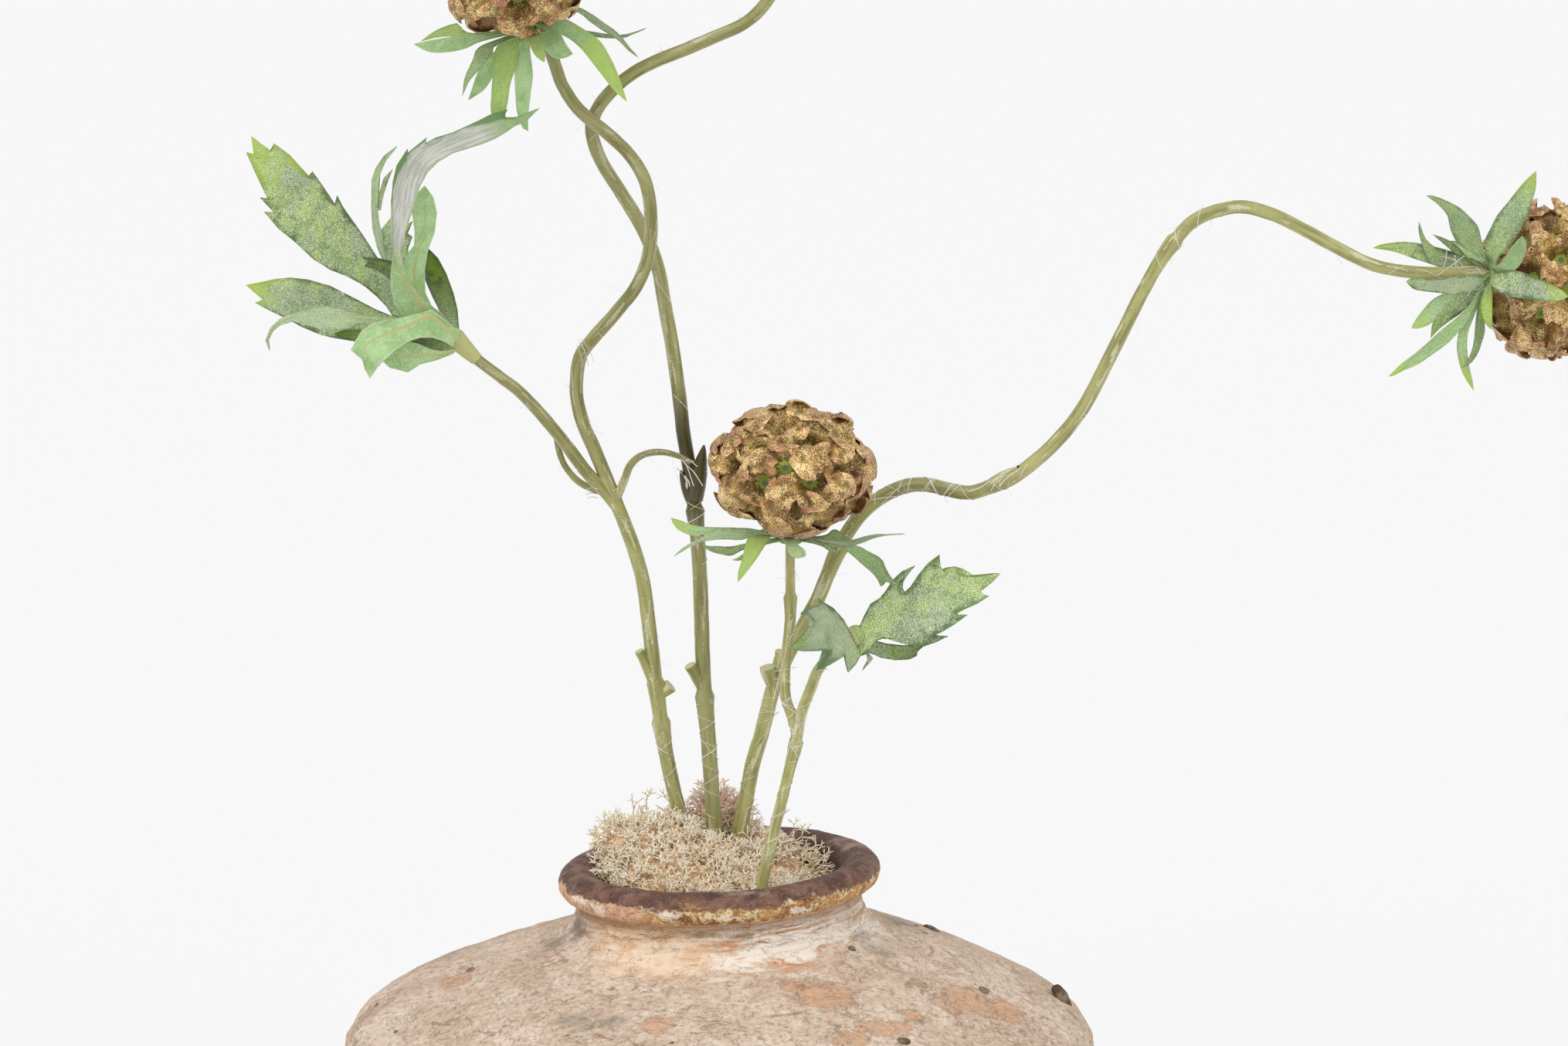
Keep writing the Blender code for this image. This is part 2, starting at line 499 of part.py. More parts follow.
def build_stem(name):
    stem = STEMS[name]
    collar, axis = head_frame(stem["head"])
    seat = collar - axis * (COLLAR_HEIGHT / 2 + GAP)
    path = stem_path(name)
    path += [path[-1].lerp(seat - axis * 4, 0.55), seat - axis * 2.5, seat]
    trunk = tube(name, path, stem["radii"], STEM_SIDES)
    parts = [tube("peg", [seat - axis * 2, seat + axis * PEG_LENGTH], (PEG_RADIUS, PEG_RADIUS), TWIG_SIDES)]
    for number, (route, radii) in enumerate(stem["branches"]):
        branch = [lifted(point) for point in smooth_path(route, STEM_STEP if number == 0 else 6)]
        parts.append(tube("branch", branch, radii, TWIG_SIDES))
        if number == 0:
            ahead = (branch[-1] - branch[-2]).normalized()
            parts.append(tube("peg", [branch[-1] - ahead * 2, branch[-1] + ahead * LEAF_PEG_LENGTH],
                              (LEAF_PEG_RADIUS, LEAF_PEG_RADIUS), TWIG_SIDES))
    for foot, tip, thick, thin in stem["stubs"]:
        parts.append(tube("stub", [lifted(foot), lifted(tip)], (thick, thin), TWIG_SIDES))
    for place in stem["rings"]:
        nearest = min(range(1, len(path) - 1), key=lambda index: (path[index] - lifted(place)).length)
        forward = along(path)[nearest]
        shift = (lifted(place) - path[nearest]).dot(forward)
        middle = path[nearest] + forward * shift
        thickness = stem["radii"][0] * 1.08 + 0.25
        parts.append(tube("ring", [middle - forward * RING_HALF, middle + forward * RING_HALF],
                          (thickness, thickness * 0.9), STEM_SIDES))
    combine(trunk, parts, "UNION")
    keep_largest(trunk)
    finish(trunk, 50)


def spiral_directions(count):
    """Directions spread evenly over a sphere, from one pole to the other."""
    turn_step = math.pi * (3 - math.sqrt(5))
    for index in range(count):
        height = 1 - (2 * index + 1) / count
        around = math.sqrt(1 - height ** 2)
        yield Vector((around * math.cos(index * turn_step), around * math.sin(index * turn_step), height))


def cell_reach(middle, toward, others):
    """Angle from a floret's middle to the border that it shares with its nearest neighbour that way."""
    reach = 0.6
    for other in others:
        if toward.dot(other) > 0.05:
            reach = min(reach, math.atan((1 - middle.dot(other)) / toward.dot(other)))
    return reach - BORDER_ANGLE


def floret(middle, others, draw):
    """One ruffled cup of a head, inside its own cell of the sphere, as rings of points."""
    side = middle.orthogonal().normalized()
    across = middle.cross(side)
    root, under, rim, bowl = [], [], [], []
    for number in range(FLORET_SIDES):
        turn = math.tau * number / FLORET_SIDES
        toward = side * math.cos(turn) + across * math.sin(turn)
        reach = cell_reach(middle, toward, others) * draw.uniform(0.86, 1)
        while (middle * math.cos(reach) + toward * math.sin(reach)).z < -math.cos(BARE_ANGLE) and reach > 0.05:
            reach *= 0.9
        ruffle = HEAD_RADIUS * (FLORET_CREST if number % 2 else FLORET_DIP) + draw.uniform(-0.8, 0.4)

        def spot(share, radius):
            return (middle * math.cos(reach * share) + toward * math.sin(reach * share)) * radius
        root.append(spot(0.3, HEAD_RADIUS * FLORET_ROOT))
        under.append(spot(0.97, ruffle - FLORET_EDGE))
        rim.append(spot(1, ruffle))
        bowl.append(spot(0.5, HEAD_RADIUS * FLORET_BOWL))
    return [root, under, rim, bowl, [middle * HEAD_RADIUS * FLORET_HEART]]


def build_head(name, seed):
    draw = random.Random(seed)
    collar, axis = head_frame(name)
    centre = collar + axis * COLLAR_DROP
    turn = UP.rotation_difference(axis).to_matrix().to_4x4()
    place = Matrix.Translation(centre) @ turn @ Matrix.Diagonal((1, 1, HEAD_FLATTEN, 1))
    spread = Matrix.Rotation(draw.uniform(0, math.tau), 3, "Z")
    middles = [(spread @ direction + Vector([draw.uniform(-0.06, 0.06) for _ in range(3)])).normalized()
               for direction in spiral_directions(FLORETS)]
    cups = []
    for index, middle in enumerate(middles):
        if middle.z < -math.cos(BARE_ANGLE):
            continue
        rings = floret(middle, middles[:index] + middles[index + 1:], draw)
        cups.append(ring_solid("floret", [[place @ point for point in ring] for ring in rings]))
    calyx = tube("calyx", [centre - axis * 8, centre - axis * CALYX_DROP], (8, CALYX_RADIUS), 8)
    work = bmesh.new()
    bmesh.ops.create_icosphere(work, subdivisions=1, radius=HEAD_CORE)
    head = solid("head_" + name, [place @ vertex.co for vertex in work.verts],
                 [[vertex.index for vertex in face.verts] for face in work.faces])
    work.free()
    combine(head, cups + [calyx], "UNION", "MANIFOLD")
    socket = tube("socket", [collar, collar + axis * (PEG_LENGTH - 0.5)],
                  (PEG_RADIUS + HOLE_GAP, PEG_RADIUS + HOLE_GAP), TWIG_SIDES)
    combine(head, [socket], "DIFFERENCE", "MANIFOLD")
    keep_largest(head)
    finish(head, 25)


def bract(collar, axis, tip, width):
    """One lance-shaped blade from inside the collar to its tip, low at first and then bending."""
    level = (tip - axis * tip.dot(axis)).normalized()
    start = level * (COLLAR_RADIUS * 0.6)
    control = level * max(9.0, tip.length * 0.58) - axis * BRACT_SAG
    across = axis.cross(level)
    rings = []
    for share, spread in ((0, 0.5), (0.42, 1.0), (0.78, 0.75), (1, 0.08)):
        middle = start * (1 - share) ** 2 + control * 2 * share * (1 - share) + tip * share ** 2
        forward = ((control - start) * (1 - share) + (tip - control) * share).normalized()
        normal = forward.cross(across).normalized() * BRACT_THICKNESS / 2
        edge = across * width * spread / 2
        rings.append([collar + middle + corner for corner in
                      (edge + normal, edge - normal, -edge - normal, -edge + normal)])
    return ring_solid("bract", rings)


def build_bracts(name):
    collar, axis = head_frame(name)
    base = tube("bracts_" + name, [collar - axis * COLLAR_HEIGHT / 2, collar + axis * COLLAR_HEIGHT / 2],
                (COLLAR_RADIUS * 0.8, COLLAR_RADIUS), 10)
    combine(base, [bract(collar, axis, Vector(tip), width) for tip, width in BRACTS[name]], "UNION", "MANIFOLD")
    hole = tube("hole", [collar - axis * COLLAR_HEIGHT, collar + axis * COLLAR_HEIGHT],
                (PEG_RADIUS + HOLE_GAP, PEG_RADIUS + HOLE_GAP), TWIG_SIDES)
    combine(base, [hole], "DIFFERENCE", "MANIFOLD")
    keep_largest(base)
    finish(base, 25)


def leaf(route, outline):
    """A thin blade with cut edges along its rib, folded a little, split alike on both faces."""
    ribs = [lifted(point) for point in smooth_path(route, 2.0)]
    ways = along(ribs)
    rings = []
    for share, left, right in outline:
        place = share * (len(ribs) - 1)
        index = min(int(place), len(ribs) - 2)
        rib = ribs[index].lerp(ribs[index + 1], place - index)
        side = ways[index].cross(FRONT).normalized()
        facing = side.cross(ways[index]).normalized()
        half = facing * LEAF_THICKNESS / 2
        left, right = max(left, 0.15), max(right, 0.15)
        left_edge = rib - side * left + facing * left * LEAF_FOLD
        right_edge = rib + side * right + facing * right * LEAF_FOLD
        rings.append([left_edge + half, rib + half, right_edge + half,
                      right_edge - half, rib - half, left_edge - half])
    return ring_solid("leaf", rings)


def build_spray(name, stem, branch):
    spray = SPRAYS[name]
    neck = [lifted(point) for point in spray["neck"]]
    base = tube(name, neck, spray["neck_radii"], 8)
    hub = ball("hub", neck[-1], (HUB_RADIUS, HUB_RADIUS, HUB_RADIUS), 1)
    combine(base, [hub] + [leaf(route, outline) for route, outline in spray["leaves"]], "UNION", "MANIFOLD")
    twig = [lifted(point) for point in smooth_path(STEMS[stem]["branches"][branch][0], STEM_STEP)]
    ahead = (twig[-1] - twig[-2]).normalized()
    socket = tube("socket", [twig[-1] - ahead * 3, twig[-1] + ahead * (LEAF_PEG_LENGTH + HOLE_GAP)],
                  (LEAF_PEG_RADIUS + HOLE_GAP, LEAF_PEG_RADIUS + HOLE_GAP), TWIG_SIDES)
    combine(base, [socket], "DIFFERENCE", "MANIFOLD")
    keep_largest(base)
    finish(base, 25)


def main():
    clear_scene()
    build_pot()
    build_foam()
    build_moss()
    for name in STEMS:
        build_stem(name)
    for seed, name in enumerate(HEADS):
        build_head(name, seed)
        build_bracts(name)
    build_spray("leaf_spray_left", "stem_left", 0)
    build_spray("leaf_spray_right", "stem_front", 0)


main()
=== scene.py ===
# %% [markdown]
# # Scabiosa stems in moss, in an aged clay pot
#
# A plain model of solids comes first: a pot, foam, moss, four wired stems, ruffled flower heads
# with a star of bracts under each, and two sprays of toothed leaves. This script dresses it.
# Each plain solid gives its place and form, and a finer piece with the same form stands for it.

# %% Load the plain model
import json
import math
import random

import bmesh
import bpy
import numpy as np
from mathutils import Matrix, Vector, noise

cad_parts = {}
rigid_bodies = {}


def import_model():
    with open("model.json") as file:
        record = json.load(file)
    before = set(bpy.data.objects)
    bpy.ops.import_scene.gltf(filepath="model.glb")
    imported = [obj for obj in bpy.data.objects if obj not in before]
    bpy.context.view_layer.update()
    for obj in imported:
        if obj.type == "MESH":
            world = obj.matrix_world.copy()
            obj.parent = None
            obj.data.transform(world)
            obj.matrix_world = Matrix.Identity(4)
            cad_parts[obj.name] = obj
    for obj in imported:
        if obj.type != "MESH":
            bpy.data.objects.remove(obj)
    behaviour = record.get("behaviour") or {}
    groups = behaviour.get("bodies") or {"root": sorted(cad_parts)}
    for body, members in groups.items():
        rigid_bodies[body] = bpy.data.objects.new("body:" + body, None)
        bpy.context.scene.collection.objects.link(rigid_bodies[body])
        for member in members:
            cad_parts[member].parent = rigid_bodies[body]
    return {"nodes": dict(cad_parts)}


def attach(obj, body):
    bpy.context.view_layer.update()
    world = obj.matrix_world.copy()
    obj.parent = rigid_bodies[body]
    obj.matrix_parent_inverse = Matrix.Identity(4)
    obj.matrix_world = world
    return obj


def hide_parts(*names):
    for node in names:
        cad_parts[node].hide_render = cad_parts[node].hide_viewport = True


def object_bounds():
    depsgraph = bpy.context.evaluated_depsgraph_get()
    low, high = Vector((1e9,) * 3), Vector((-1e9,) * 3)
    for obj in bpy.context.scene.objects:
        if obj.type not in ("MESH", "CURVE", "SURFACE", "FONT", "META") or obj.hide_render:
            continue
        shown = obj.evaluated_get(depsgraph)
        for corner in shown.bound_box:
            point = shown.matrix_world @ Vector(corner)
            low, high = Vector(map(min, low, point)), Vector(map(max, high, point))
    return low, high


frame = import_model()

cad_box = [list(corner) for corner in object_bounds()]
print("plain model:", len(frame["nodes"]), "solids, from", cad_box[0], "to", cad_box[1])

# %% [markdown]
# ## Camera, floor and light
#
# The picture is taken with a long lens from a little above the flowers, so that upright things
# stay nearly upright. The whole background is the same pale floor, which fills the view.
# Product light is soft: a bright white world does most of the work, and two broad suns, whose
# light is even over the whole floor, give the pot its form and the stems their gleam.

# %% Camera
MM = 0.001
POT_HEIGHT = 220.0                       # the tables below measure heights from the pot's mouth
PITCH = math.radians(10.8)
DISTANCE = 2400.0
AIM = Vector((22.04, 0, 336.2))          # the point in the middle of the picture, in millimetres


def new_object(name, data):
    """An object in the scene, made round its data."""
    made = bpy.data.objects.new(name, data)
    bpy.context.scene.collection.objects.link(made)
    return made


camera = new_object("camera", bpy.data.cameras.new("camera"))
camera.data.lens = 163.7
camera.data.sensor_width = 36
camera.rotation_euler = (math.pi / 2 - PITCH, 0, 0)
camera.location = (AIM + Vector((0, -math.cos(PITCH), math.sin(PITCH))) * DISTANCE) * MM
bpy.context.scene.camera = camera
bpy.context.scene.view_settings.view_transform = "Standard"
print("camera at", tuple(round(value, 3) for value in camera.location))

# %% Floor and light
FLOOR_HALF = 30.0


def add_sun(name, strength, spread, height, turn):
    """A broad sun that shines from a height and a compass turn, in degrees, 0 being the camera's side."""
    lamp = bpy.data.lights.new(name, "SUN")
    lamp.energy = strength
    lamp.angle = math.radians(spread)
    sun = new_object(name, lamp)
    sun.rotation_euler = (math.radians(90 - height), 0, math.radians(turn))


world = bpy.data.worlds.new("studio")
world.use_nodes = True
world.node_tree.nodes["Background"].inputs["Color"].default_value = (1, 1, 1, 1)
world.node_tree.nodes["Background"].inputs["Strength"].default_value = 0.66
bpy.context.scene.world = world
add_sun("key", 1.25, 50, 52, -38)
add_sun("fill", 0.55, 70, 35, 55)

floor_mesh = bpy.data.meshes.new("floor")
floor_corners = [(x * FLOOR_HALF, y * FLOOR_HALF, 0) for x, y in ((-1, -1), (1, -1), (1, 1), (-1, 1))]
floor_mesh.from_pydata(floor_corners, [], [(0, 1, 2, 3)])
new_object("floor", floor_mesh)

# %% [markdown]
# ## A short way to write materials
#
# A material is a tree of nodes. Written out one node at a time it is long and hard to read, so a
# socket is wrapped here in a small class: adding or multiplying two of them adds a Math node.
# Every other node comes from one method that takes its type, its settings and its inputs.

# %% Sockets that can be added and multiplied


class Link:
    """One output socket of a tree, on which Python arithmetic makes Math nodes."""

    def __init__(self, tree, socket):
        self.tree, self.socket = tree, socket

    def maths(self, operation, *values):
        return self.tree.node("ShaderNodeMath", {"operation": operation}, dict(enumerate(values)))

    def __add__(self, other):
        return self.maths("ADD", self, other)

    __radd__ = __add__

    def __mul__(self, other):
        return self.maths("MULTIPLY", self, other)

    __rmul__ = __mul__

    def __sub__(self, other):
        return self.maths("SUBTRACT", self, other)

    def __rsub__(self, other):
        return self.maths("SUBTRACT", other, self)

    def sine(self):
        return self.maths("SINE", self)

    def axis(self, letter):
        return self.tree.node("ShaderNodeSeparateXYZ", inputs={0: self}, output=letter)

    def between(self, low, high, out_low=0.0, out_high=1.0):
        """Rises smoothly from one number to another while this value goes from low to high."""
        return self.tree.node("ShaderNodeMapRange", {"interpolation_type": "SMOOTHSTEP"},
                              {"Value": self, "From Min": low, "From Max": high,
                               "To Min": out_low, "To Max": out_high})


class Tree:
    """A node tree with one method that adds any node."""

    def __init__(self, nodes, links):
        self.nodes, self.links = nodes, links

    def node(self, kind, settings=None, inputs=None, output=0):
        made = self.nodes.new(kind)
        for name, value in (settings or {}).items():
            setattr(made, name, value)
        for name, value in (inputs or {}).items():
            if isinstance(value, Link):
                self.links.new(value.socket, made.inputs[name])
            else:
                made.inputs[name].default_value = value
        return Link(self, made.outputs[output]) if made.outputs else None


def tint(red, green, blue):
    """A colour as the eye reads it, 0 to 255, turned into the linear numbers that Blender mixes."""
    return tuple([((value / 255 + 0.055) / 1.055) ** 2.4 if value > 10 else value / 3295
                  for value in (red, green, blue)] + [1.0])


class Paint(Tree):
    """A material that is being built, with the textures that this object's finishes share."""

    def __init__(self, name):
        self.material = bpy.data.materials.new(name)
        self.material.use_nodes = True
        tree = self.material.node_tree
        super().__init__(tree.nodes, tree.links)
        self.shader = tree.nodes["Principled BSDF"]
        self.place = self.node("ShaderNodeTexCoord", output="Object")

    def value(self, name):
        """A number that each point of the mesh carries under a name."""
        return self.node("ShaderNodeAttribute", {"attribute_name": name}, output="Fac")

    def vector(self, name):
        return self.node("ShaderNodeAttribute", {"attribute_name": name}, output="Vector")

    def stretched(self, place, x, y, z):
        return self.node("ShaderNodeVectorMath", {"operation": "MULTIPLY"}, {0: place, 1: (x, y, z)})

    def combined(self, x, y, z=0.0):
        return self.node("ShaderNodeCombineXYZ", inputs={0: x, 1: y, 2: z})

    def noise(self, size, detail=3.0, rough=0.55, warp=0.0, place=None):
        """Noise whose features are about `size` millimetres across, from 0 to 1."""
        return self.node("ShaderNodeTexNoise", inputs={
            "Vector": place or self.place, "Scale": 1 / (size * MM), "Detail": detail,
            "Roughness": rough, "Distortion": warp})

    def mix(self, share, first, second):
        return self.node("ShaderNodeMix", {"data_type": "RGBA"}, {0: share, 6: first, 7: second}, output=2)

    def layers(self, colour, *covers):
        """Lays colours over each other: each cover is a mask and a colour."""
        for mask, over in covers:
            colour = self.mix(mask, colour, over)
        return colour

    def bump(self, height, depth, strength=1.0, after=None):
        """Relief: a height of 1 stands `depth` millimetres proud."""
        inputs = {"Height": height, "Distance": depth * MM, "Strength": strength}
        if after:
            inputs["Normal"] = after
        return self.node("ShaderNodeBump", inputs=inputs)

    def done(self, colour=None, roughness=None, normal=None, **fixed):
        """Connects what varies, sets what doesn't, and gives the finished material."""
        for name, value in (("Base Color", colour), ("Roughness", roughness), ("Normal", normal)):
            if isinstance(value, Link):
                self.links.new(value.socket, self.shader.inputs[name])
            elif value is not None:
                self.shader.inputs[name].default_value = value
        for name, value in fixed.items():
            self.shader.inputs[name.replace("_", " ")].default_value = value
        return self.material


paper = Paint("pale_floor")
floor_mesh.materials.append(paper.done(tint(241, 241, 241), 0.9))
print("floor ready")

# %% [markdown]
# ## A short way to write geometry
#
# Thin cloth, blades and tubes all start as rows of points. A pile collects such rows, with any
# named numbers that a material wants to read later, and turns them into one mesh. Everything is
# closed: a leaf has a front, a back and a rim, as the real punched fabric has.

# %% Piles of points and faces


def carry(mesh, key, table):
    """Stores a number, or three, on each point of a mesh under a name."""
    table = np.asarray(table, np.float32)
    three = table.ndim == 2 and table.shape[1] == 3
    layer = mesh.attributes.new(key, "FLOAT_VECTOR" if three else "FLOAT", "POINT")
    layer.data.foreach_set("vector" if three else "value", table.ravel())


class Pile:
    """Collects points in millimetres, faces and named point values, and makes one mesh of them."""

    def __init__(self):
        self.parts, self.count, self.faces = [], 0, []

    def add(self, points, faces, **values):
        points = np.asarray(points, float).reshape(-1, 3)
        self.parts.append((self.count, points, values))
        self.faces += [tuple(self.count + number for number in face) for face in faces]
        self.count += len(points)

    def make(self, name, material, sharp=None, outward=True):
        """Makes the object. Sharp is the angle, in degrees, past which an edge stays crisp."""
        places = np.concatenate([points for _, points, _ in self.parts]) * MM
        mesh = bpy.data.meshes.new(name)
        mesh.from_pydata(places.tolist(), [], self.faces)
        for key in sorted({key for _, _, values in self.parts for key in values}):
            sample = next(np.asarray(values[key]) for _, _, values in self.parts if key in values)
            wide = 3 if sample.ndim == 2 or sample.shape == (3,) else 1
            table = np.zeros((self.count, wide))
            for start, points, values in self.parts:
                if key in values:
                    table[start:start + len(points)] = np.asarray(values[key]).reshape(-1, wide)
            carry(mesh, key, table)
        if outward:
            work = bmesh.new()
            work.from_mesh(mesh)
            bmesh.ops.recalc_face_normals(work, faces=work.faces)
            work.to_mesh(mesh)
            work.free()
        mesh.shade_smooth()
        if sharp:
            mesh.set_sharp_from_angle(angle=math.radians(sharp))
        mesh.materials.append(material)
        return new_object(name, mesh)


def settle(piece, slot, *nodes):
    """Hands a finished piece to the frame: its body and the solids that it stands for. The slot is not used.
    """
    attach(piece, "root")
    if nodes:
        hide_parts(*nodes)
    triangles = sum(len(face.vertices) - 2 for face in piece.data.polygons)
    print(f"{piece.name}: {triangles} triangles")


# %% Paths, tubes and thin sheets


def lifted(point):
    """A table point, measured from the pot's mouth, at its height above the floor."""
    return Vector(point) + Vector((0, 0, POT_HEIGHT))


def smooth_path(route, step):
    """Even points along a smooth curve through the route."""
    knots = [Vector(point) for point in route]
    knots = [knots[0] * 2 - knots[1]] + knots + [knots[-1] * 2 - knots[-2]]
    dense = []
    for a, b, c, d in zip(knots, knots[1:], knots[2:], knots[3:]):
        for share in [number / 12 for number in range(12)]:
            dense.append(0.5 * (2 * b + (c - a) * share + (2 * a - 5 * b + 4 * c - d) * share ** 2
                                + (3 * b - a - 3 * c + d) * share ** 3))
    dense.append(knots[-2])
    length = sum((far - near).length for near, far in zip(dense, dense[1:]))
    count = max(2, round(length / step))
    path, walked = [dense[0]], 0.0
    for near, far in zip(dense, dense[1:]):
        stretch = (far - near).length
        while len(path) < count and walked + stretch >= len(path) * length / count:
            path.append(near.lerp(far, (len(path) * length / count - walked) / stretch))
        walked += stretch
    return path + [dense[-1]]


def along(path):
    """The direction of a path at each of its points."""
    ends = [path[0]] + list(path) + [path[-1]]
    return [(after - before).normalized() for before, after in zip(ends, ends[2:])]


def frames(path):
    """Direction, side and across at each point of a path, turning as little as possible."""
    ways = along(path)
    side = ways[0].orthogonal().normalized()
    out = []
    for way in ways:
        side = (side - way * side.dot(way)).normalized()
        out.append((way, side, way.cross(side)))
    return out


def turns(sides):
    """Even angles round a circle."""
    return [math.tau * side / sides for side in range(sides)]


def ball(radius=1.0):
    """Points and faces of a round ball."""
    work = bmesh.new()
    bmesh.ops.create_icosphere(work, subdivisions=3, radius=radius)
    points = [vertex.co.copy() for vertex in work.verts]
    faces = [[vertex.index for vertex in face.verts] for face in work.faces]
    work.free()
    return points, faces


def tube(path, radii, sides):
    """Points and faces of a closed bar along a path. Radii has one number for each point."""
    points, faces = [], []
    for centre, radius, (way, side, across) in zip(path, radii, frames(path)):
        for turn in turns(sides):
            points.append(centre + (side * math.cos(turn) + across * math.sin(turn)) * float(radius))
    for ring in range(len(path) - 1):
        for number in range(sides):
            near, after = ring * sides + number, ring * sides + (number + 1) % sides
            faces.append((near, after, after + sides, near + sides))
    last = (len(path) - 1) * sides
    faces.append(tuple(range(sides))[::-1])
    faces.append(tuple(range(last, last + sides)))
    return points, faces


def cloth(grid, thickness, closed, values):
    """A thin closed sheet from a grid of points: front, back and rim.

    A grid that is closed runs round a middle. Each value has one number, or three, for each point.
    """
    rows, columns = grid.shape[:2]
    down = np.gradient(grid, axis=0)
    right = (np.roll(grid, -1, 1) - np.roll(grid, 1, 1)) if closed else np.gradient(grid, axis=1)
    normal = np.cross(down, right)
    normal /= np.maximum(np.linalg.norm(normal, axis=2, keepdims=True), 1e-9)
    half = normal * thickness / 2
    flat = rows * columns
    points = np.concatenate([(grid + half).reshape(-1, 3), (grid - half).reshape(-1, 3)])
    faces = []
    wide = columns if closed else columns - 1
    for row in range(rows - 1):
        for column in range(wide):
            a, b = row * columns + column, row * columns + (column + 1) % columns
            faces.append((a, a + columns, b + columns, b))
            faces.append((flat + a, flat + b, flat + b + columns, flat + a + columns))
    border = [(rows - 1) * columns + column for column in range(columns)]
    if not closed:
        border = ([row * columns for row in range(rows)] + border[1:]
                  + [row * columns + columns - 1 for row in range(rows - 2, -1, -1)]
                  + list(range(columns - 2, 0, -1)))
    for a, b in zip(border, border[1:] + border[:1]):
        faces.append((a, flat + a, flat + b, b))
    carried = {}
    for key, value in values.items():
        both = np.tile(np.asarray(value, float).reshape(flat, -1), (2, 1))
        carried[key] = both.ravel() if both.shape[1] == 1 else both
    carried["under"] = np.repeat([0.0, 1.0], flat)
    if closed:
        ring = points[:columns].mean(0), points[flat:flat + columns].mean(0)
        points = np.concatenate([points, ring])
        for column in range(columns):
            after = (column + 1) % columns
            faces.append((2 * flat, column, after))
            faces.append((2 * flat + 1, flat + after, flat + column))
        for key, value in carried.items():
            middle = value[:columns].mean(0), value[flat:flat + columns].mean(0)
            carried[key] = np.concatenate([value, np.array(middle).reshape(2, *value.shape[1:])])
    return points, faces, carried


print("mesh helpers ready")

# %% [markdown]
# ## Geometry Nodes for what repeats
#
# Two trees do the repeating work. One grows twigs on a bed: it scatters points over a mesh, puts
# a random twig of a collection on each, and turns and sizes it at random. The other coats a wire:
# it runs a round profile along a line whose points say how thick it is.

# %% Run a tree on an object


def new_tree(name, sockets):
    """An empty geometry tree with a mesh input and the named inputs, with their types and values."""
    group = bpy.data.node_groups.new(name, "GeometryNodeTree")
    group.interface.new_socket("Geometry", in_out="INPUT", socket_type="NodeSocketGeometry")
    for label, (kind, value) in sockets.items():
        socket = group.interface.new_socket(label, in_out="INPUT", socket_type="NodeSocket" + kind)
        if value is not None:
            socket.default_value = value
    group.interface.new_socket("Geometry", in_out="OUTPUT", socket_type="NodeSocketGeometry")
    return group, Tree(group.nodes, group.links)


def given(tree, label):
    """An input of the tree."""
    return tree.node("NodeGroupInput", output=label)


def random_number(tree, low, high, seed):
    return tree.node("FunctionNodeRandomValue", {"data_type": "FLOAT"},
                     {2: low, 3: high, "Seed": seed}, output=1)


def stored(tree, name):
    """A number that each point of the mesh carries under a name."""
    return tree.node("GeometryNodeInputNamedAttribute", {"data_type": "FLOAT"}, {"Name": name})


def store(tree, geometry, name, value, kind="FLOAT", domain="POINT"):
    return tree.node("GeometryNodeStoreNamedAttribute", {"data_type": kind, "domain": domain},
                     {"Geometry": geometry, "Name": name, "Value": value})


def give_back(tree, geometry):
    """Ends a tree: everything becomes one plain mesh with the given material."""
    real = tree.node("GeometryNodeRealizeInstances", inputs={"Geometry": geometry})
    finished = tree.node("GeometryNodeSetMaterial",
                         inputs={"Geometry": real, "Material": given(tree, "Material")})
    tree.node("NodeGroupOutput", inputs={"Geometry": finished})


def run_tree(thing, group, values):
    """Puts the tree on an object, sets its inputs, and keeps the plain mesh that comes out."""
    step = thing.modifiers.new(group.name, "NODES")
    step.node_group = group
    for item in group.interface.items_tree:
        if item.in_out == "INPUT" and item.name in values:
            step[item.identifier] = values[item.name]
    bpy.context.view_layer.update()
    graph = bpy.context.evaluated_depsgraph_get()
    made = bpy.data.meshes.new_from_object(thing.evaluated_get(graph), preserve_all_data_layers=True,
                                           depsgraph=graph)
    thing.modifiers.remove(step)
    thing.data = made
    return thing


# %% A tree that grows things on a bed
grow, t = new_tree("grow_on_bed", {
    "Twigs": ("Collection", None), "Per Square Metre": ("Float", 1000.0), "Smallest": ("Float", 0.8),
    "Largest": ("Float", 1.2), "Tilt": ("Float", 0.5), "Seed": ("Int", 0), "Material": ("Material", None)})
seed, tilt = given(t, "Seed"), given(t, "Tilt")
points = t.node("GeometryNodeDistributePointsOnFaces", {"distribute_method": "RANDOM"}, {
    "Mesh": given(t, "Geometry"), "Seed": seed,
    "Density": stored(t, "growth") * given(t, "Per Square Metre")})
upright = Link(t, points.socket.node.outputs["Rotation"])
low = t.node("ShaderNodeCombineXYZ", inputs={0: tilt * -1.0, 1: tilt * -1.0, 2: -3.1416})
high = t.node("ShaderNodeCombineXYZ", inputs={0: tilt, 1: tilt, 2: 3.1416})
lean = t.node("FunctionNodeRandomValue", {"data_type": "FLOAT_VECTOR"}, {0: low, 1: high, "Seed": seed})
turned = t.node("FunctionNodeRotateRotation", {"rotation_space": "LOCAL"},
                {"Rotation": upright, "Rotate By": lean})
size = random_number(t, given(t, "Smallest"), given(t, "Largest"), seed)
twigs = t.node("GeometryNodeCollectionInfo", {"transform_space": "RELATIVE"},
               {"Collection": given(t, "Twigs"), "Separate Children": True, "Reset Children": True})
placed = t.node("GeometryNodeInstanceOnPoints", inputs={
    "Points": points, "Instance": twigs, "Pick Instance": True, "Rotation": turned, "Scale": size})
named = store(t, placed, "shade", random_number(t, 0.0, 1.0, 91), domain="INSTANCE")
together = t.node("GeometryNodeJoinGeometry", inputs={"Geometry": given(t, "Geometry")})
t.links.new(named.socket, together.socket.node.inputs["Geometry"])
give_back(t, together)
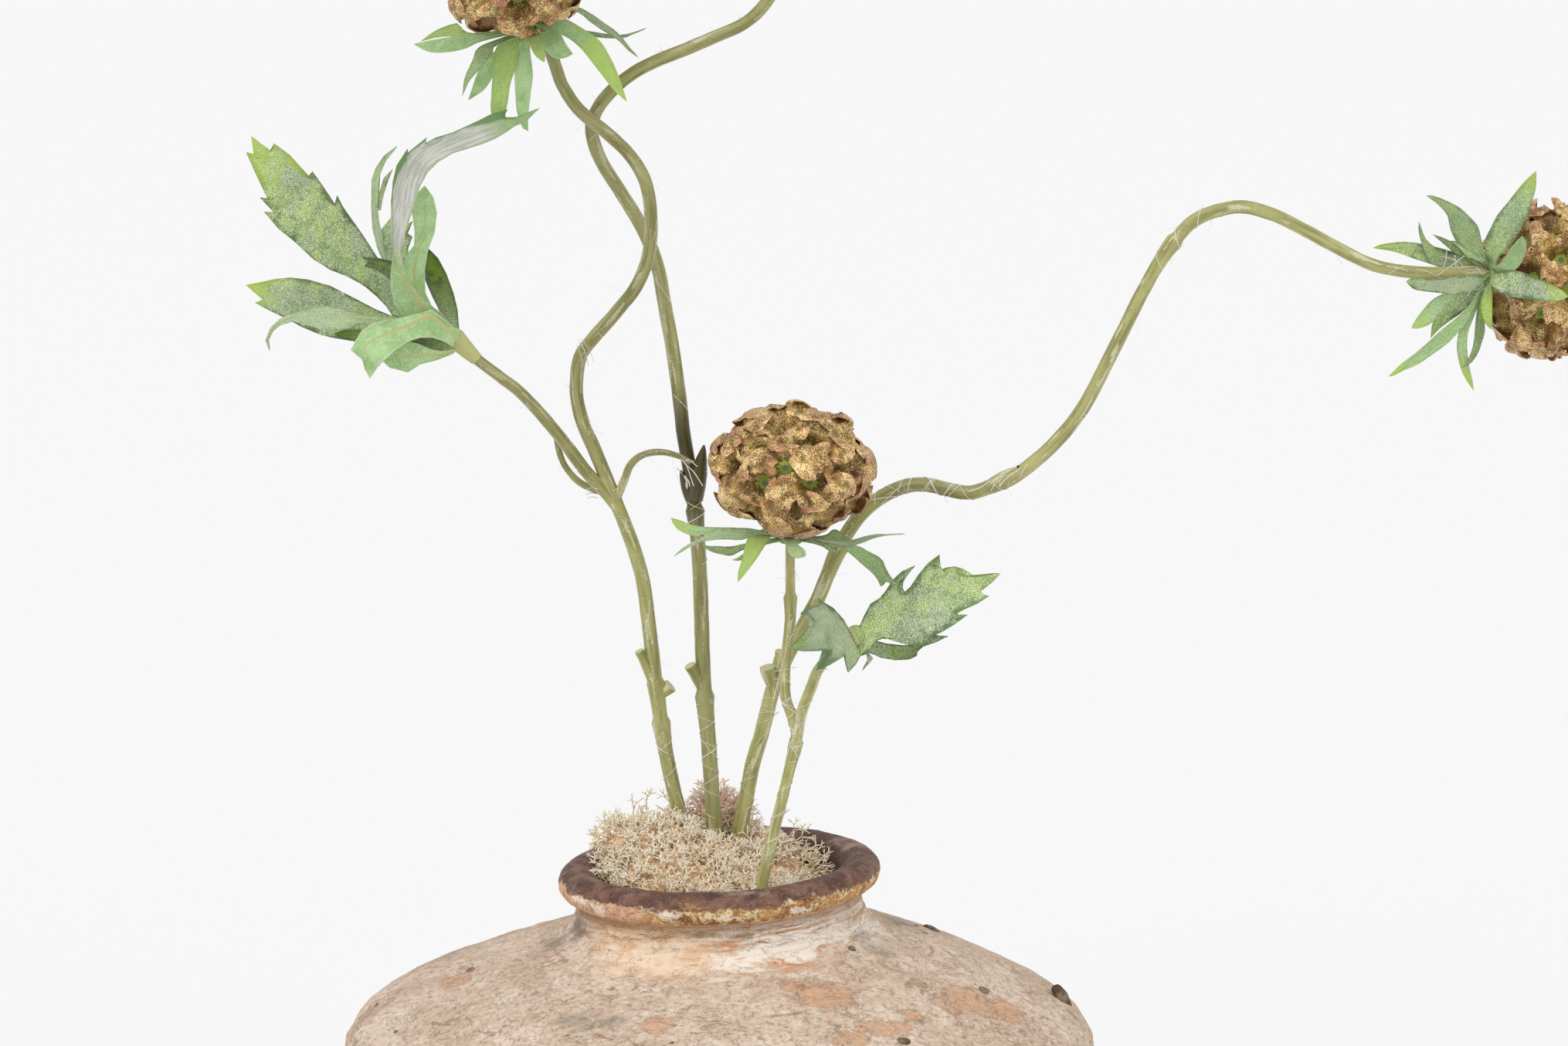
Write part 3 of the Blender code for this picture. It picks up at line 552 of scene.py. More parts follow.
print("growing tree:", len(grow.nodes), "nodes")

# %% A tree that coats a wire
coat, t = new_tree("coat_wire", {
    "Sides": ("Int", 14), "Unevenness": ("Float", 0.0002), "Unevenness Size": ("Float", 150.0),
    "Material": ("Material", None)})
line = t.node("GeometryNodeMeshToCurve", inputs={"Mesh": given(t, "Geometry")})
line = store(t, line, "along", t.node("GeometryNodeSplineParameter", output="Length"))
thick = stored(t, "thick")
line = t.node("GeometryNodeSetCurveRadius", inputs={"Curve": line, "Radius": thick})
circle = t.node("GeometryNodeCurvePrimitiveCircle", {"mode": "RADIUS"},
                {"Resolution": given(t, "Sides"), "Radius": 1.0})
place = t.node("GeometryNodeInputPosition")
circle = store(t, circle, "round", place, "FLOAT_VECTOR")
skin = t.node("GeometryNodeCurveToMesh", inputs={"Curve": line, "Profile Curve": circle, "Fill Caps": True})
if "Scale" in skin.socket.node.inputs:
    t.links.new(thick.socket, skin.socket.node.inputs["Scale"])
ripple = t.node("ShaderNodeTexNoise", inputs={
    "Vector": place, "Scale": given(t, "Unevenness Size"), "Detail": 2.0})
push = t.node("ShaderNodeVectorMath", {"operation": "SCALE"},
              {0: t.node("GeometryNodeInputNormal"), "Scale": (ripple - 0.5) * given(t, "Unevenness") * 2.0})
skin = t.node("GeometryNodeSetPosition", inputs={"Geometry": skin, "Offset": push})
give_back(t, skin)
print("coating tree:", len(coat.nodes), "nodes")

# %% [markdown]
# ## The pot
#
# The real pot is thrown clay, turned round an axis, so it is one profile swept round. The profile
# here passes through the same points as the plain pot's, only with many more steps, and the top
# leans a little to the left as the real one does. Over that go the marks of age: throwing lines on
# the neck, a gritty skin, flakes where limewash has gone, and dark scabs. Marks that the eye knows
# have their own places, and their strength is stored on the points, where the clay can read it.

# %% The pot's profile
POT_SIDES = 288
LIP_RADIUS, LIP_DROP = 47.7, 5.5
LIP_HALF_WIDTH, LIP_HALF_HEIGHT = 6.7, 5.5
LIP_TILT = math.radians(2.5)
LEAN_START, LEAN_FULL = -45.0, -12.0
POT_OUTSIDE = [(73, -220), (85, -196), (99, -168), (113, -134), (124, -100), (128, -76), (126.6, -62),
               (121.5, -54.5), (112, -48.5), (90, -38), (70, -30.3), (54, -24), (48.8, -17.5), (48.2, -12.2)]
POT_INSIDE = [(41.3, -14), (42.5, -22), (66, -37), (90, -47.5), (114, -61), (121, -76), (117, -100),
              (92, -168), (64, -212)]


def flat_path(pairs, step):
    """A smooth run of (radius, height) pairs."""
    route = [(radius, 0, height) for radius, height in pairs]
    return [(point.x, point.z) for point in smooth_path(route, step)]


lip = [(LIP_RADIUS + LIP_HALF_WIDTH * math.cos(math.radians(turn)),
        LIP_HALF_HEIGHT * math.sin(math.radians(turn)) - LIP_DROP) for turn in range(-55, 186, 6)]
belly = flat_path(POT_OUTSIDE[:7], 2.6)
shoulder = flat_path(POT_OUTSIDE[6:], 1.05)
inside = flat_path(POT_INSIDE, 8)
profile = [(71.4, -220)] + belly[:-1] + shoulder + lip + inside
print("pot profile:", len(profile), "rings")

# %% Marks of age, placed on the pot
# (place, reach in millimetres along x, y and z), for each kind of mark
MARKS = {
    "peach": [
        ((36, -65, -31), (13, 9, 5)), ((83, -42, -39), (17, 12, 5)), ((65, -65, -38), (6, 4, 3)),
        ((55, -75, -39), (12, 6, 3)), ((44, -85, -41), (7, 5, 3)), ((96, -36, -44), (9, 10, 5)),
        ((-18, -83, -36), (7, 6, 3)), ((-89, -13, -39), (10, 8, 3)), ((28, -62, -29), (9, 5, 3)),
        ((-32, -36, -16.5), (14, 10, 2.6)), ((10, 70, -32), (16, 10, 5)), ((-70, 60, -38), (14, 12, 5)),
        ((90, 60, -48), (12, 16, 8)), ((-60, -95, -70), (22, 14, 12)), ((70, -95, -75), (20, 16, 12)),
        ((20, -120, -95), (26, 10, 14)), ((-10, 120, -80), (24, 12, 16))],
    # grey smudges of age; those beside the neck also stand in as painted shade
    "smudge": [
        ((-48, -15, -21), (10, 11, 6)), ((-57, -11, -27), (9, 12, 5)), ((-45, -73, -37), (14, 9, 3)),
        ((-35, -77, -37), (10, 6, 3)), ((48, -23, -22), (6, 8, 5)), ((54, -26, -25), (9, 8, 5)),
        ((-59, -50, -34), (8, 4, 2)), ((60, 20, -27), (14, 14, 5)), ((-90, 40, -45), (14, 18, 8)),
        ((100, 40, -60), (14, 20, 14)), ((-110, -40, -80), (16, 24, 18)), ((20, 95, -45), (26, 10, 8))],
    "lime": [
        ((-46, -29, -7.6), (7, 7, 2.8)), ((-40, -36, -9), (7, 6, 2.8)), ((-21, -50, -4.2), (4.6, 4, 2)),
        ((-15, -52.3, -6.9), (4.4, 4, 2.5)), ((2, -53.7, -7.8), (6.5, 4, 1.5)),
        ((27, -46, -6.4), (6.5, 6, 2.0)), ((26, 50, -6), (7, 5, 1.8)), ((-30, 46, -7), (6, 6, 1.8))],
    "scuff": [
        ((42, 22, 2), (8, 9, 4)), ((45, 12, 1), (7, 8, 4)), ((-44, 18, -1), (6, 10, 3)),
        ((-20, 46, 0), (12, 8, 3)), ((10, -48, 0), (16, 4, 2))],
    "olive": [
        ((-3, -48, -14.3), (11, 4, 1.8)), ((20, -53, -3.5), (4, 3, 1.4)), ((-9, -53, -3.6), (6, 3, 1.4)),
        ((46, -74, -36), (1.6, 1.6, 1.2)), ((45, -31, -23), (2.2, 2, 1.2)), ((6, -47, -15), (9, 3, 1.6))],
}
# Raised scabs: place on the surface, then half length, half width and half height
SCABS = [
    ((89.5, -26.9, -39.0), 2.4, 1.9, 0.8), ((-84.6, -7.2, -37.2), 3.0, 2.0, 0.6),
    ((-117.4, -0.6, -52.2), 1.6, 2.3, 0.7), ((-78.6, -45.2, -39.2), 1.0, 1.1, 0.5),
    ((-67.4, -72.6, -42.9), 1.3, 1.2, 0.5), ((-49.2, -80.7, -40.7), 1.2, 1.0, 0.5),
    ((-108.6, -39.2, -51.0), 1.5, 1.6, 0.5), ((61.5, -78.7, -42.8), 2.4, 2.0, 0.7),
    ((-14.7, -92.7, -40.1), 1.6, 1.2, 0.6), ((67.5, 24.8, -30.0), 1.5, 1.6, 0.7),
    ((70.5, 14.9, -30.0), 1.4, 1.5, 0.7), ((44.9, -31.5, -23.3), 1.5, 1.3, 0.4),
    ((116.8, 8, -50.0), 3.4, 5.0, 2.4), ((73, 30, -31.9), 3.4, 2.8, 1.0), ((60, 88, -46), 2.2, 1.8, 0.7),
    ((-92, 62, -57), 1.9, 2.2, 0.7), ((-30, 112, -60), 2.4, 2.0, 0.8)]


def mark_strength(kind, place):
    """How strongly a kind of mark covers a place: 1 in its middle, 0 at its reach and beyond."""
    best = 0.0
    for centre, reach in MARKS[kind]:
        away = math.sqrt(sum(((p - c) / (1.35 * r)) ** 2 for p, c, r in zip(place, centre, reach)))
        best = max(best, 1.0 - away)
    return best


def rough_noise(place, size, octaves=3):
    """Fractal noise about -1 to 1, with features of that many millimetres."""
    return noise.fractal(Vector(place) / size, 1.0, 2.0, octaves)


# %% Turn the pot


def leaned(point):
    """Leans the top of the pot: nothing below the shoulder, the full tilt at the lip."""
    share = min(1.0, max(0.0, (point.z - LEAN_START) / (LEAN_FULL - LEAN_START)))
    return point + Vector((0, 0, point.x * math.tan(LIP_TILT) * share))


def pot_relief(radius, height, turn, outside):
    """How far the surface stands out, in millimetres, at a place of the pot."""
    place = (radius * math.cos(turn), radius * math.sin(turn), height)
    push = 0.16 * rough_noise(place, 16) + 0.07 * rough_noise(place, 3.2, 2)
    if not outside:
        return push * 0.5
    if height > -12:
        return push + 0.22 * rough_noise((place[0], place[1], place[2] * 2), 6)
    throw = 0.14 * math.sin(height * 2.6 + 0.8 * rough_noise(place, 30)) if height > -24 else 0.0
    flakes = rough_noise((place[0] * 0.7, place[1] * 0.7, place[2] * 1.6 + 40), 11, 4)
    return push + throw + 0.22 * max(-0.5, min(1.0, flakes * 3.5))


POT_LIFT = Vector((0, 0, POT_HEIGHT))
pot_points, pot_faces = [Vector((0, 0, -POT_HEIGHT))], []
outer_rings = len(belly) + len(shoulder) + len(lip)
for number, (radius, height) in enumerate(profile):
    before, after = profile[max(0, number - 1)], profile[min(len(profile) - 1, number + 1)]
    slope = Vector((after[1] - before[1], 0, before[0] - after[0])).normalized()
    for turn in turns(POT_SIDES):
        uneven = radius * (1 + 0.006 * math.sin(2 * turn + 1) + 0.003 * math.sin(3 * turn))
        push = pot_relief(radius, height, turn, number < outer_rings) if number > 2 else 0.0
        uneven += slope.x * push
        spot = Vector((uneven * math.cos(turn), uneven * math.sin(turn), height + slope.z * push))
        pot_points.append(leaned(spot))
    start = 1 + number * POT_SIDES
    for side in range(POT_SIDES):
        after = (side + 1) % POT_SIDES
        if number == 0:
            pot_faces.append((0, start + after, start + side))
        else:
            below = start - POT_SIDES
            pot_faces.append((below + side, below + after, start + after, start + side))
pot_points.append(Vector((0, 0, 8 - POT_HEIGHT)))
last = len(pot_points) - 1
for side in range(POT_SIDES):
    pot_faces.append((last, last - POT_SIDES + side, last - POT_SIDES + (side + 1) % POT_SIDES))
marks = {kind: [mark_strength(kind, point) for point in pot_points] for kind in MARKS}
print("pot:", len(pot_points), "points")


# %% Scabs of iron and grit


def scab(place, halves, seed):
    """A low crusty lump that lies on the pot's surface."""
    spots, faces = ball()
    outward = Vector((place[0], place[1], 0)).normalized() * 0.42 + Vector((0, 0, 0.9))
    if place[2] < -48:
        outward += Vector((place[0], place[1], 0)).normalized()
    turn = outward.to_track_quat("Z", "Y").to_matrix()
    points = []
    for spot in spots:
        bumpy = 1 + 0.22 * rough_noise(spot + Vector((seed * 7, 0, 0)), 0.7, 2)
        lump = Vector([part * half * bumpy for part, half in zip(spot, halves)])
        points.append(Vector(place) + turn @ lump)
    return points, faces


pot_pile = Pile()
pot_pile.add([point + POT_LIFT for point in pot_points], pot_faces, **marks)
for seed, (place, *halves) in enumerate(SCABS):
    points, faces = scab(place, halves, seed)
    pot_pile.add([point + POT_LIFT for point in points], faces, scab=1.0)

# %% [markdown]
# ### Its clay
#
# The finish is built in layers, as the real one grew: terracotta, a pinkish limewash that has
# worn through in patches, grey smudges, streaks of white along the throwing lines of the neck,
# and on the lip a dark slip above a band of ochre with chips of lime. Beside the neck the grey
# smudges also stand in as painted shade, and painted shade darkens a band under the lip's roll
# and the throat inside the lip. Each layer is a mask, and noise breaks up the edge of every mask.

# %% Clay
clay = Paint("aged_clay")
tall = clay.place.axis("Z") * 1000.0 - POT_HEIGHT
east = clay.place.axis("X") * 1000.0
rise = tall - east * math.tan(LIP_TILT)
broad, medium, fine = clay.noise(26, 4), clay.noise(7, 5, 0.62), clay.noise(1.1, 4, 0.65)
grit = clay.noise(0.5, 2, 0.7)
grain = clay.noise(2.2, 5, 0.75, 0.4)
ragged = (medium - 0.5) * 2.2 + (fine - 0.5) * 0.9


def placed(kind, low, high, rag=1.0):
    """Covers the placed marks of a kind, with an edge as ragged as worn paint."""
    near = clay.value(kind)
    return (near + ragged * rag).between(low, high) * near.between(0.0, 0.15)


flake_place = clay.stretched(clay.place, 0.75, 0.75, 2.0)
flake = clay.noise(8, 6, 0.62, 0.9, flake_place).between(0.50, 0.525)
loose = clay.noise(10, 7, 0.7, 1.0, flake_place).between(0.60, 0.63)
bare = placed("peach", 0.30, 0.42)
terracotta = clay.layers(clay.mix(grain, tint(186, 134, 98), tint(224, 180, 142)),
                         (fine.between(0.56, 0.66) * 0.5, tint(226, 196, 164)))
side_shade = clay.noise(17, 3, 0.6).between(0.40, 0.62)
body = clay.layers(clay.mix(broad.between(0.36, 0.64), tint(206, 180, 158), tint(226, 204, 184)),
                   (medium.between(0.46, 0.66) * 0.5, tint(240, 224, 206)),
                   (side_shade * 0.35, tint(196, 170, 144)),
                   (clay.noise(13, 6, 0.7, 0.8).between(0.55, 0.66) * 0.5, tint(168, 138, 114)),
                   (grain.between(0.50, 0.36) * 0.6, tint(154, 126, 104)),
                   (grain.between(0.54, 0.66) * 0.5, tint(246, 234, 218)),
                   (bare * (grain.between(0.36, 0.52) * 0.6 + 0.22), terracotta),
                   (loose * 0.6, tint(178, 138, 108)),
                   # grey smudges, partly painted shade beside the neck
                   (placed("smudge", 0.3, 0.9, 1.1) * 0.55, tint(140, 126, 112)))

# %% Neck and lip
reach = clay.node("ShaderNodeVectorMath", {"operation": "LENGTH"},
                  {0: clay.stretched(clay.place, 1, 1, 0)}, "Value")
along_x, along_y, upwards = [clay.place.axis(letter) for letter in "XYZ"]
rings = clay.combined(along_x * 0.14, along_y * 0.14,
                      (upwards - along_x * math.tan(LIP_TILT) + reach * 0.8) * 2.2)
streaks = clay.noise(2.6, 5, 0.6, 0.4, rings)
on_neck = (rise + (medium - 0.5) * 8.0).between(-28.5, -23.0) * rise.between(-9.0, -11.5)
flow = (east + (medium - 0.5) * 30.0).between(-8.0, 8.0)
orange_side = flow * (east + (medium - 0.5) * 24.0).between(42.0, 30.0)
clumps = clay.noise(9, 3, 0.6).between(0.42, 0.56)
body = clay.layers(body,
                   (on_neck * (1 - flow) * east.between(-50.0, -34.0) * 0.9,
                    clay.mix(medium.between(0.4, 0.6), tint(226, 178, 134), tint(244, 218, 186))),
                   (on_neck * flow * 0.75, tint(232, 208, 186)),
                   (on_neck * streaks.between(0.48, 0.54) * (0.3 + flow * 0.7), tint(246, 234, 220)),
                   (on_neck * streaks.between(0.49, 0.44) * clumps * orange_side * 0.9, tint(204, 134, 78)),
                   (on_neck * streaks.between(0.44, 0.39) * (1 - orange_side * clumps) * 0.6,
                    tint(170, 134, 102)),
                   # grey smudges on the neck, partly painted shade
                   (placed("smudge", 0.3, 0.9, 0.8) * on_neck * 0.5, tint(140, 130, 118)),
                   (placed("lime", 0.4, 0.62), tint(240, 228, 208)),
                   (placed("olive", 0.3, 0.7, 0.7) * 0.7, tint(150, 126, 78)),
                   # painted shade: a darker band all round the neck, under the lip's roll
                   ((rise + (medium - 0.5) * 2.0).between(-15.5, -12.5) * 0.5, tint(160, 122, 90)))

slip = clay.layers(clay.mix(medium.between(0.38, 0.64), tint(88, 58, 46), tint(132, 94, 76)),
                   (streaks.between(0.52, 0.66) * 0.35, tint(136, 106, 96)),
                   (clay.noise(16, 6, 0.75, 0.6).between(0.54, 0.66) * 0.5, tint(152, 126, 114)),
                   (placed("scuff", 0.35, 0.9, 0.8) * 0.55, tint(176, 152, 142)),
                   (grain.between(0.60, 0.70) * 0.35, tint(172, 148, 134)),
                   (grit.between(0.66, 0.72) * 0.6, tint(206, 188, 174)))
gold = clay.layers(clay.mix(medium.between(0.40, 0.56), tint(148, 102, 62), tint(202, 158, 102)),
                   (grain.between(0.48, 0.60) * 0.65, tint(224, 190, 134)),
                   (clay.noise(5, 6, 0.7, 0.6).between(0.53, 0.57) * 0.8, tint(244, 226, 188)),
                   (fine.between(0.46, 0.36) * 0.7, tint(118, 74, 46)),
                   ((east + ragged * 8.0).between(-20.0, -30.0),
                    clay.mix(grain.between(0.35, 0.65), tint(196, 146, 112), tint(236, 196, 166))),
                   (placed("lime", 0.36, 0.50, 1.4), tint(240, 224, 202)))
wave = (medium - 0.5) * 8.0 + (grain - 0.5) * 4.0
dark_line = rise + wave
outer = reach.between(0.0462, 0.0475)
dark_top = dark_line.between(-4.9, -3.9)
slipped = dark_top + (1 - outer) * (1 - dark_top)
lip_colour = clay.layers(clay.mix(slipped, gold, slip),
                         (placed("olive", 0.35, 0.8) * grain.between(0.42, 0.56) * 0.8, tint(174, 134, 80)))
# painted shade: the throat inside the lip is darkened
painted_throat_shade = reach.between(0.0445, 0.0425)
lip_colour = clay.mix(painted_throat_shade * 0.6, lip_colour, tint(74, 52, 46))
colour = clay.mix((rise + (fine - 0.5) * 1.6).between(-10.8, -9.8), body, lip_colour)
colour = clay.layers(colour,
                     (clay.noise(1.5, 2, 0.5).between(0.70, 0.76) * 0.6, tint(104, 84, 66)),
                     (clay.noise(3.4, 3, 0.6).between(0.70, 0.73) * 0.7, tint(122, 94, 74)),
                     (clay.value("scab"),
                      clay.mix(medium.between(0.4, 0.6), tint(88, 72, 60), tint(152, 130, 108))))
relief = clay.bump(flake * 0.6 + medium * 0.4 - bare * 0.5 - loose * 0.5, 0.7, 0.8)
relief = clay.bump(grain, 0.75, 0.8, relief)
relief = clay.bump(streaks.between(0.35, 0.65) * on_neck, 0.35, 0.8, relief)
relief = clay.bump(grit, 0.14, 0.6, relief)
shine = slipped * rise.between(-10.6, -9.6)
aged_clay = clay.done(colour, 0.93 - shine * 0.40, relief, Specular_IOR_Level=0.35)
settle(pot_pile.make("pot_aged", aged_clay), "pot", "pot")

# %% [markdown]
# ## Foam and moss
#
# A column of dry foam holds the stems, and only moss shows above it, so the plain foam keeps its
# shape and gets a finish. Reindeer moss is a tangle of pale twigs that fork again and again.
# A few kinds of forked twig are made in code, with about 140 faces each, and the growing tree
# plants hundreds of them, leaning every way, on a bed with the plain moss's mounds. The twigs
# carry a number that runs from foot to tip, and the feet and the bed take a deeper colour:
# painted shade, so that the depths of the tangle are darker.

# %% Foam
dry_foam = Paint("dry_foam")
pores = dry_foam.noise(0.6, 3, 0.7)
foam_finish = dry_foam.done(dry_foam.mix(pores, tint(92, 88, 62), tint(132, 126, 92)), 0.95,
                            dry_foam.bump(pores, 0.4))
frame["nodes"]["foam_core"].data.materials.clear()
frame["nodes"]["foam_core"].data.materials.append(foam_finish)

# %% Forked twigs


def forked_twig(draw, levels, first, thick):
    """Twigs that fork again and again, three-sided, the last ones pointed. Tip runs from foot to end."""
    pile, live = Pile(), [(Vector((0, 0, -first * 0.3)), Vector((0, 0, 1)), first * 1.3, 0)]
    while live:
        foot, way, long, level = live.pop()
        bend = Vector([draw.uniform(-0.35, 0.35) for _ in range(3)])
        end = foot + (way + bend).normalized() * long
        low, high = level / (levels + 1), (level + 1) / (levels + 1)
        points, faces = tube([foot, end], (thick * (1 - 0.1 * level), thick * (0.92 - 0.1 * level)), 3)
        tips = [low] * 3 + [high] * 3
        if level == levels:
            points, faces = points[:3] + [end], [(0, 1, 3), (1, 2, 3), (2, 0, 3), (2, 1, 0)]
            tips = [low] * 3 + [high]
        pile.add(points, faces, tip=np.array(tips))
        if level < levels:
            heading = (end - foot).normalized()
            side = heading.orthogonal().normalized()
            side.rotate(Matrix.Rotation(draw.uniform(0, math.tau), 3, heading))
            spread = draw.uniform(0.5, 0.9)
            for sign in (1, -1):
                live.append((end - heading * thick * 0.5, (heading + side * sign * spread).normalized(),
                             long * draw.uniform(0.7, 0.95) * (0.8 if level == 0 else 0.95), level + 1))
    return pile


def stray_twig(target, foot, way, levels, first, thick, seed):
    """Adds one forked twig to a pile, from a foot above the mouth, pointing one way."""
    turn = np.array(Vector((0, 0, 1)).rotation_difference(Vector(way).normalized()).to_matrix())
    twig = forked_twig(random.Random(seed), levels, first, thick)
    points = np.concatenate([points for _, points, _ in twig.parts]) @ turn.T + np.array(lifted(foot))
    tips = np.concatenate([values["tip"] for _, _, values in twig.parts])
    target.add(points, twig.faces, tip=tips, shade=0.7)


def twig_collection(name, kinds, levels, first, thick, seed):
    """A collection of several kinds of twig for the growing tree to pick from."""
    draw = random.Random(seed)
    group = bpy.data.collections.new(name)
    for kind in range(kinds):
        made = forked_twig(draw, levels, first, thick).make(f"{name}_{kind}", moss_paints[name])
        bpy.context.scene.collection.objects.unlink(made)
        group.objects.link(made)
    return group


def drop_collection(group):
    for thing in list(group.objects):
        bpy.data.objects.remove(thing, do_unlink=True)
    bpy.data.collections.remove(group)


# %% The colours of moss


def moss_paint(name, deep, low, pale):
    """Moss: a deep colour in its foot, painted shade for the depths of the tangle, pale at the tips, each
    twig a little different.
    """
    paint = Paint(name)
    tip = (paint.value("tip") + (paint.noise(4) - 0.5) * 0.35).between(0.0, 0.5)
    tone = paint.layers(paint.mix(paint.value("shade"), low, pale),
                        (paint.noise(14).between(0.35, 0.7) * 0.4, low))
    return paint.done(paint.mix(tip, deep, tone), 0.95, Specular_IOR_Level=0.2)


moss_paints = {
    "cream_twigs": moss_paint("cream_moss", tint(224, 188, 146), tint(255, 236, 204), tint(255, 250, 236)),
    "pink_twigs": moss_paint("pink_moss", tint(222, 182, 156), tint(255, 232, 210), tint(255, 244, 230)),
}

# %% Beds for the moss
MOSS_MOUNDS = [(-20, 14, 17, 15.5), (-4, -12, 17, 7.5), (14, 22, 11, 8), (-26, -16, 9, 3), (37, -3, 8, -8),
               (-38, -10, 6, -6)]
MOSS_SINK = 6.2                              # the bed lies this far below the tips
STEM_FEET = [(-14, 20), (-1.9, 12), (6, 17.5), (15.5, -29)]


def moss_height(x, y):
    """Height of the moss above the mouth: a few mounds and a fine roughness, as on the plain solid."""
    height = -4 + sum(tall * math.exp(-((x - mx) ** 2 + (y - my) ** 2) / (2 * spread ** 2))
                      for mx, my, spread, tall in MOSS_MOUNDS)
    return height + 1.6 * noise.noise(Vector((x, y, 0)) * 0.21)


def polar_bed(top, radius, bottom, rings, sides):
    """A closed mound over a disc, with the value growth, 1 where twigs may stand."""
    points, growth = [Vector((0, 0, top(0, 0)))], [1.0]
    for ring in range(1, rings + 1):
        reach = radius * ring / rings
        for turn in turns(sides):
            x, y = reach * math.cos(turn), reach * math.sin(turn)
            points.append(Vector((x, y, top(x, y))))
            near = min(math.hypot(x - fx, y - fy) for fx, fy in STEM_FEET)
            growth.append(0.0 if near < 4.0 else 1.0)
    wall = [Vector((point.x, point.y, bottom)) for point in points[-sides:]]
    points += wall + [Vector((0, 0, bottom))]
    growth += [0.0] * (sides + 1)
    faces = [(0, 1 + side, 1 + (side + 1) % sides) for side in range(sides)]
    for ring in range(rings):
        for side in range(sides):
            near, after = 1 + ring * sides + side, 1 + ring * sides + (side + 1) % sides
            faces.append((near, near + sides, after + sides, after))
    last = len(points) - 1
    faces += [(last, last - sides + (side + 1) % sides, last - sides + side) for side in range(sides)]
    return [lifted(point) for point in points], faces, np.array(growth)


def ball_bed(centre, half, seed):
    """A rounded lump for a clump of twigs."""
    spots, faces = ball()
    points = []
    for spot in spots:
        bumpy = 1 + 0.12 * rough_noise(spot + Vector((seed, 0, 0)), 0.8, 2)
        points.append(lifted([middle + reach * part * bumpy
                              for middle, reach, part in zip(centre, half, spot)]))
    return points, faces, np.array([0.0 if point.z < POT_HEIGHT - 3 else 1.0 for point in points])


def plant(bed, kinds, finish, smallest, largest, per_square_metre, tilt, seed):
    """Grows the kinds of twig all over a bed, with one finish, and keeps the mesh."""
    run_tree(bed, grow, {"Twigs": kinds, "Per Square Metre": per_square_metre, "Smallest": smallest,
                         "Largest": largest, "Tilt": tilt, "Seed": seed, "Material": finish})
    bed.data.shade_smooth()
    drop_collection(kinds)


# %% Plant the cream moss
# Stray twigs: foot above the mouth and the way they point
CREAM_STRAYS = [
    ((-36, 12, 7), (-1, -0.1, 0.45)), ((-34, 16, 8), (-0.8, 0.2, 0.9)), ((-30, 22, 10), (-0.3, 0, 1)),
    ((-25, 26, 12), (0.2, 0, 1)), ((-16, 30, 11), (-0.3, 0.2, 1)), ((24, 22, 3), (0.5, 0, 0.8)),
    ((29, 12, 0), (1, -0.1, 0.5)), ((32, 4, -2), (1, -0.3, 0.4)), ((33, -4, -3), (1, -0.4, 0.3)),
    ((26, 18, 2), (0.9, 0.1, 0.6)), ((-33, -14, -1), (-0.6, -0.5, 0.5)), ((20, 27, 5), (0.3, 0, 1))]
cream_pile = Pile()
points, faces, growth = polar_bed(lambda x, y: moss_height(x, y) - MOSS_SINK, 37.5, -15.5, 22, 64)
# the bed carries tip 0, so it takes the deep colour: painted shade under the twigs
cream_pile.add(points, faces, growth=growth, tip=0.0)
for seed, (centre, half) in enumerate([((-32, 13, 1), (7, 9, 5)), ((-22, 25, 2), (8, 6, 5))]):
    points, faces, growth = ball_bed(centre, half, seed)
    cream_pile.add(points, faces, growth=growth, tip=0.0)
for seed, (foot, way) in enumerate(CREAM_STRAYS):
    stray_twig(cream_pile, foot, way, 4, 2.6, 0.3, seed)
cream = cream_pile.make("moss_cream_tangle", moss_paints["cream_twigs"])
plant(cream, twig_collection("cream_twigs", 9, 4, 2.5, 0.42, 3), moss_paints["cream_twigs"],
      smallest=0.8, largest=1.2, per_square_metre=118000.0, tilt=1.15, seed=4)
settle(cream, "moss_cream", "moss_cream")

# %% Plant the pink tuft
pink_pile = Pile()
points, faces, growth = ball_bed((-0.5, 29, 6.2), (8.4, 5, 9), 9)
pink_pile.add(points, faces, growth=growth, tip=0.0)
pink = pink_pile.make("moss_pink_tuft", moss_paints["pink_twigs"])
plant(pink, twig_collection("pink_twigs", 6, 4, 2.1, 0.3, 8), moss_paints["pink_twigs"],
      smallest=0.8, largest=1.4, per_square_metre=260000.0, tilt=0.9, seed=6)
settle(pink, "moss_pink", "moss_pink")

# %% Places in the photo
PHOTO_WIDE, PHOTO_HIGH = 2030, 1354


def sight(column, line):
    """The camera's eye and the unit vector along which it sees a place of the picture."""
    spread = camera.data.sensor_width / camera.data.lens / PHOTO_WIDE
    ahead = Vector((0, math.cos(PITCH), -math.sin(PITCH)))
    upward = Vector((0, math.sin(PITCH), math.cos(PITCH)))
    across, down = (column - PHOTO_WIDE / 2) * spread, (line - PHOTO_HIGH / 2) * spread
    return AIM - ahead * DISTANCE, (ahead + Vector((1, 0, 0)) * across - upward * down).normalized()


def seen_at(column, line, depth):
    """The point at a depth behind the pot's middle that the picture shows at a place, in millimetres."""
    eye, ray = sight(column, line)
    return eye + ray * ((depth - eye.y) / ray.y)


# %% [markdown]
# ## Stems
#
# A stem is wire in olive plastic: long bends, sheaths that end in a small step, side twigs, and
# stubs where a branch was cut away. The routes are the plain stems' own. Each line of points
# says how thick the plastic is there, and the coating tree turns it into skin.

